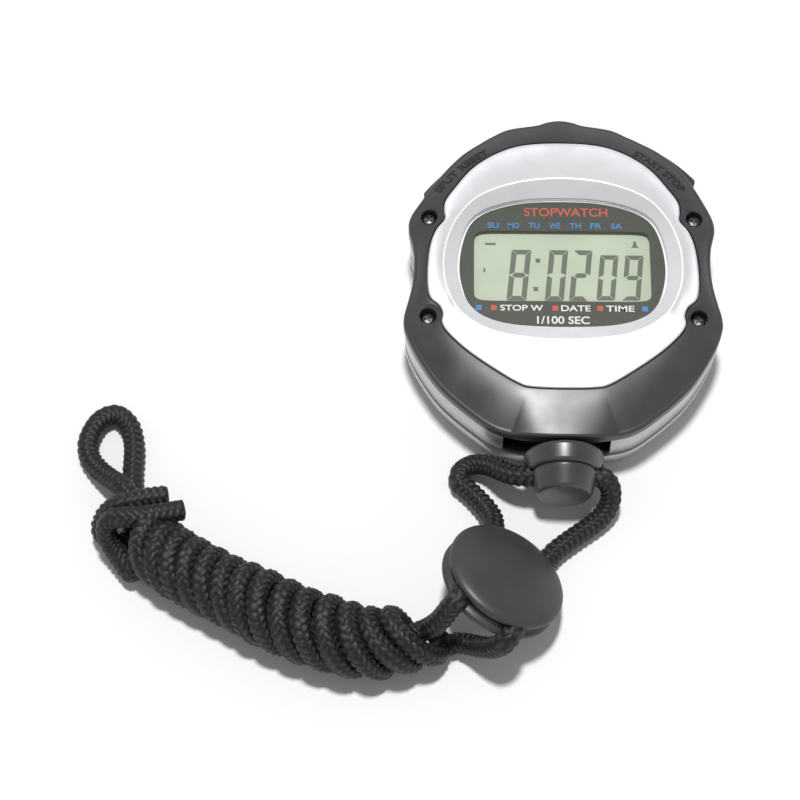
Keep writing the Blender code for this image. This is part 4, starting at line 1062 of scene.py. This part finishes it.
def make_mid_case():
    soft = 0.18 * MM
    inner = BAND - WALL
    rings = [ring(inner, MID_LOW), ring(BAND - soft, MID_LOW), ring(BAND - 0.05 * MM, MID_LOW + 0.05 * MM),
             ring(BAND, MID_LOW + soft), ring(BAND, MID_HIGH - soft),
             ring(BAND - 0.05 * MM, MID_HIGH - 0.05 * MM), ring(BAND - soft, MID_HIGH), ring(inner, MID_HIGH)]
    band = loft("mid_case_band", rings, hollow=True, sharp_angle=50.0)
    carve(band, pillars(PILLAR, MID_LOW, MID_HIGH), "UNION")
    cuts = pillars(SCREW_HOLE, MID_LOW - MM, MID_HIGH + MM, 24)
    for angle, wall_radius, half_width, _ in BUTTONS.values():
        side = half_width * MM + BUTTON_SIDE_GAP
        low = (-side, -6 * MM, BUTTON_LOW - BUTTON_SIDE_GAP)
        high = (side, 4 * MM, BUTTON_HIGH + BUTTON_SIDE_GAP)
        cuts.append(box_object("window", low, high, button_matrix(angle, wall_radius)))
    cuts.append(box_object("notch", (NOTCH_X[0], LENS_Y - 40 * MM, MID_LOW - MM),
                           (NOTCH_X[1], LENS_Y - 32 * MM, MID_HIGH + MM)))
    carve(band, cuts)
    finish_piece(band, SILVER_CASE, replaces=("mid_case",))


def make_back_cover():
    inner = BAND - WALL
    under = [(-8.0, 0.4), (-6.2, 0.4), (-5.9, 0.3), (-5.7, 0.05), (-5.4, 0.0), (-2.6, 0.0)]
    side = catmull_rom([(-2.6, 0.0), (-1.7, 0.15), (-1.0, 0.5), (-0.45, 1.15), (-0.2, 1.8), (-0.03, 2.7),
                        (0.0, 3.4)], closed=False, per_span=4)
    top = [(0.0, 4.7), (-0.05, 4.83), (-0.2, BACK_HIGH / MM)]
    rings = [ring(BAND + d * MM, z * MM) for d, z in (*under, *side[1:], *top)]
    rings += [ring(inner, BACK_HIGH), ring(inner, BACK_FLOOR)]
    cover = loft("back_cover_shell", rings, sharp_angle=50.0)
    carve(cover, pillars(PILLAR, 1.3 * MM, BACK_HIGH), "UNION")
    carve(cover, pillars(SCREW_HOLE, 2.3 * MM, BACK_HIGH + MM, 24))
    finish_piece(cover, SILVER_CASE, replaces=("back_cover",))


def make_gasket():
    low, high = (corner.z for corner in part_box("case_gasket"))
    outer = BAND - 0.6 * MM
    inner = outer - 0.9 * MM
    soft = 0.12 * MM
    rings = [ring(inner, low), ring(outer - soft, low), ring(outer, low + soft), ring(outer, high - soft),
             ring(outer - soft, high), ring(inner, high)]
    gasket = loft("gasket_ring", rings, hollow=True)
    finish_piece(gasket, RUBBER, replaces=("case_gasket",))


# ---------------------------------------------------------------- screws, buttons and crown

def make_screws():
    seat = SCREW_SEAT + GAP
    head = [(0.02, 15.44), (0.5, 15.43), (0.9, 15.38), (1.2, 15.27), (1.38, 15.1), (1.45, 14.85),
            (1.45, 14.42)]
    shank = [(0.8 * MM, seat)]
    for turn_z in np.arange(11.0, 3.6, -0.7):
        shank += [(0.8 * MM, turn_z * MM), (0.62 * MM, (turn_z - 0.35) * MM)]
    profile = [(r * MM, z * MM) for r, z in head] + [(1.38 * MM, seat)] + shank + [(0.2 * MM, 2.6 * MM)]
    for number, centre in enumerate(screw_centres(), start=1):
        screw = upright(f"case_screw_turned_{number}", profile, centre, 48)
        turn = Matrix.Translation((centre[0], centre[1] + LENS_Y, 0))
        turn = turn @ Matrix.Rotation(math.radians(18 + 31 * number), 4, "Z")
        cross = [box_object("slot", (-a, -b, 14.85 * MM), (a, b, 16 * MM), turn)
                 for a, b in ((0.88 * MM, 0.19 * MM), (0.19 * MM, 0.88 * MM))]
        hollow = turned("hollow", [(0.12 * MM, 14.7 * MM), (0.42 * MM, 15.6 * MM)], 4, turn)
        carve(screw, [*cross, hollow])
        finish_piece(screw, DARK_STEEL, replaces=(f"case_screw_{number}",))


def cap_outline(half_width, reach, back, inset):
    """A cap seen from above: straight sides, rounded corners and a bowed outer face."""
    bow, corner = 0.55 * MM, 0.7 * MM
    w = half_width - inset
    face = []
    for k in range(33):
        x = w * math.cos(math.pi * k / 32)
        y = reach - inset - bow * (x / half_width) ** 2
        past = max(0.0, abs(x) - (w - corner)) / corner
        y -= corner * (1.0 - math.sqrt(max(0.0, 1.0 - past * past)))
        face.append((x, y))
    return [(-w, back), (w, back)] + face


def make_button(name, angle, wall_radius, half_width, reach):
    """A sliding button: a grooved, rounded cap with a flange and a plunger behind it."""
    half_width, reach = half_width * MM, reach * MM
    drop = half_width ** 2 / (2 * wall_radius * MM)
    front = -WALL - drop - 0.75 * MM
    back = front - 0.8 * MM
    matrix = button_matrix(angle, wall_radius)
    rings = []
    round_off = 0.45 * MM
    rib_depth, rib_pitch = BUTTON_RIB
    for z in np.linspace(BUTTON_LOW, BUTTON_HIGH, 41):
        edge = min(z - BUTTON_LOW, BUTTON_HIGH - z)
        past = max(0.0, round_off - edge) / round_off
        inset = round_off * (1.0 - math.sqrt(max(0.0, 1.0 - past * past)))
        ribs = rib_depth * (0.5 - 0.5 * math.cos(TURN * (z - BUTTON_LOW) / rib_pitch)) if past == 0 else 0.0
        outline = cap_outline(half_width, reach, back, inset)
        rings.append([(x, y - (ribs if y > 0 else 0.0), z) for x, y in outline])
    cap = loft(name + "_cap", rings)
    cap.data.transform(matrix)
    side = half_width + MM
    flange = box_object("flange", (-side, back, FLANGE_LOW), (side, front, FLANGE_HIGH), matrix)
    half, length, (low, high) = PLUNGER
    plunger = box_object("plunger", (-half, back - length, low), (half, back + 0.1 * MM, high), matrix)
    carve(cap, [flange, plunger], "UNION")
    finish_piece(cap, BLACK_BUTTON, body=name, replaces=(name + "_button",))


def make_crown():
    """The turned crown, cross drilled for the cord and bored at the back for its stem."""
    outline = ((0.1, 0.0), (7.3, 0.0), (7.85, 0.25), (7.95, 0.8), (7.35, 3.6), (7.0, 3.95), (6.3, 4.12),
               (6.2, 4.5), (6.72, 4.58), (6.62, 4.9), (5.42, 8.35), (5.05, 8.72), (0.1, 8.72))
    profile = rounded([(r * MM, -d * MM) for r, d in outline], 0.5 * MM)
    along = Vector((0, 1, 0)).to_track_quat("Z", "X").to_matrix().to_4x4()
    place = Matrix.Translation((0, LENS_Y + CROWN_BACK, CROWN_Z)) @ along
    crown = turned("crown_turned", profile, 128, place, sharp_angle=30.0)
    sideways = Matrix.Translation((0, LENS_Y + CROWN_HOLE_Y, CROWN_HOLE_Z))
    sideways = sideways @ Matrix.Rotation(math.pi / 2, 4, "Y")
    hole = turned("hole", [(2.55 * MM, -14 * MM), (2.55 * MM, 14 * MM)], 48, sideways)
    socket = turned("socket", [(3.3 * MM, -1.1 * MM), (3.3 * MM, 1.1 * MM)], 48, place)
    carve(crown, [hole, socket])
    finish_piece(crown, BLACK_CROWN, replaces=("crown",))


# ---------------------------------------------------------------- pieces kept from the model

def soften(name, width, segments=2):
    """Rounded edges on a piece kept from the model."""
    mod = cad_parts[name].modifiers.new("soften", "BEVEL")
    mod.width = width
    mod.segments = segments
    mod.limit_method = "ANGLE"
    mod.angle_limit = math.radians(40.0)
    mod.harden_normals = True


def dress_inside():
    """Materials and small edge radii for the pieces kept from the model."""
    kept = {"lcd_front_glass": LCD_GLASS, "lcd_rear_glass": LCD_GLASS, "lcd_reflector": FOIL,
            "lcd_holder": WHITE_PLASTIC, "zebra_strip_upper": ZEBRA, "zebra_strip_lower": ZEBRA,
            "circuit_board": BOARD, "chip_blob": EPOXY, "quartz_crystal": STEEL, "buzzer_plate": BRASS,
            "buzzer_ceramic": CERAMIC, "buzzer_spring": STEEL, "coin_cell": STEEL,
            "battery_contact_negative": BRASS, "battery_contact_positive": BRASS,
            "crown_mount": BLACK_BEZEL}
    for number in (1, 2, 3):
        kept[f"board_screw_{number}"] = STEEL
    for button in BUTTONS:
        kept[button + "_contact_spring"] = STEEL
    for name, material in kept.items():
        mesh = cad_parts[name].data
        mesh.materials.clear()
        mesh.materials.append(material)
    for name, width in (("crown_mount", 0.25 * MM), ("lcd_holder", 0.15 * MM), ("lcd_front_glass", 0.06 * MM),
                        ("lcd_rear_glass", 0.06 * MM), ("circuit_board", 0.05 * MM),
                        ("quartz_crystal", 0.2 * MM), ("battery_contact_negative", 0.05 * MM),
                        ("battery_contact_positive", 0.05 * MM), ("coin_cell", 0.1 * MM)):
        soften(name, width)


make_set()
make_bezel()
make_labels()
make_face_plate()
make_lens()
make_display()
make_printing()
make_mid_case()
make_back_cover()
make_gasket()
make_screws()
for button_name, sizes in BUTTONS.items():
    make_button(button_name, *sizes)
make_crown()
dress_inside()
make_cords(make_slider())
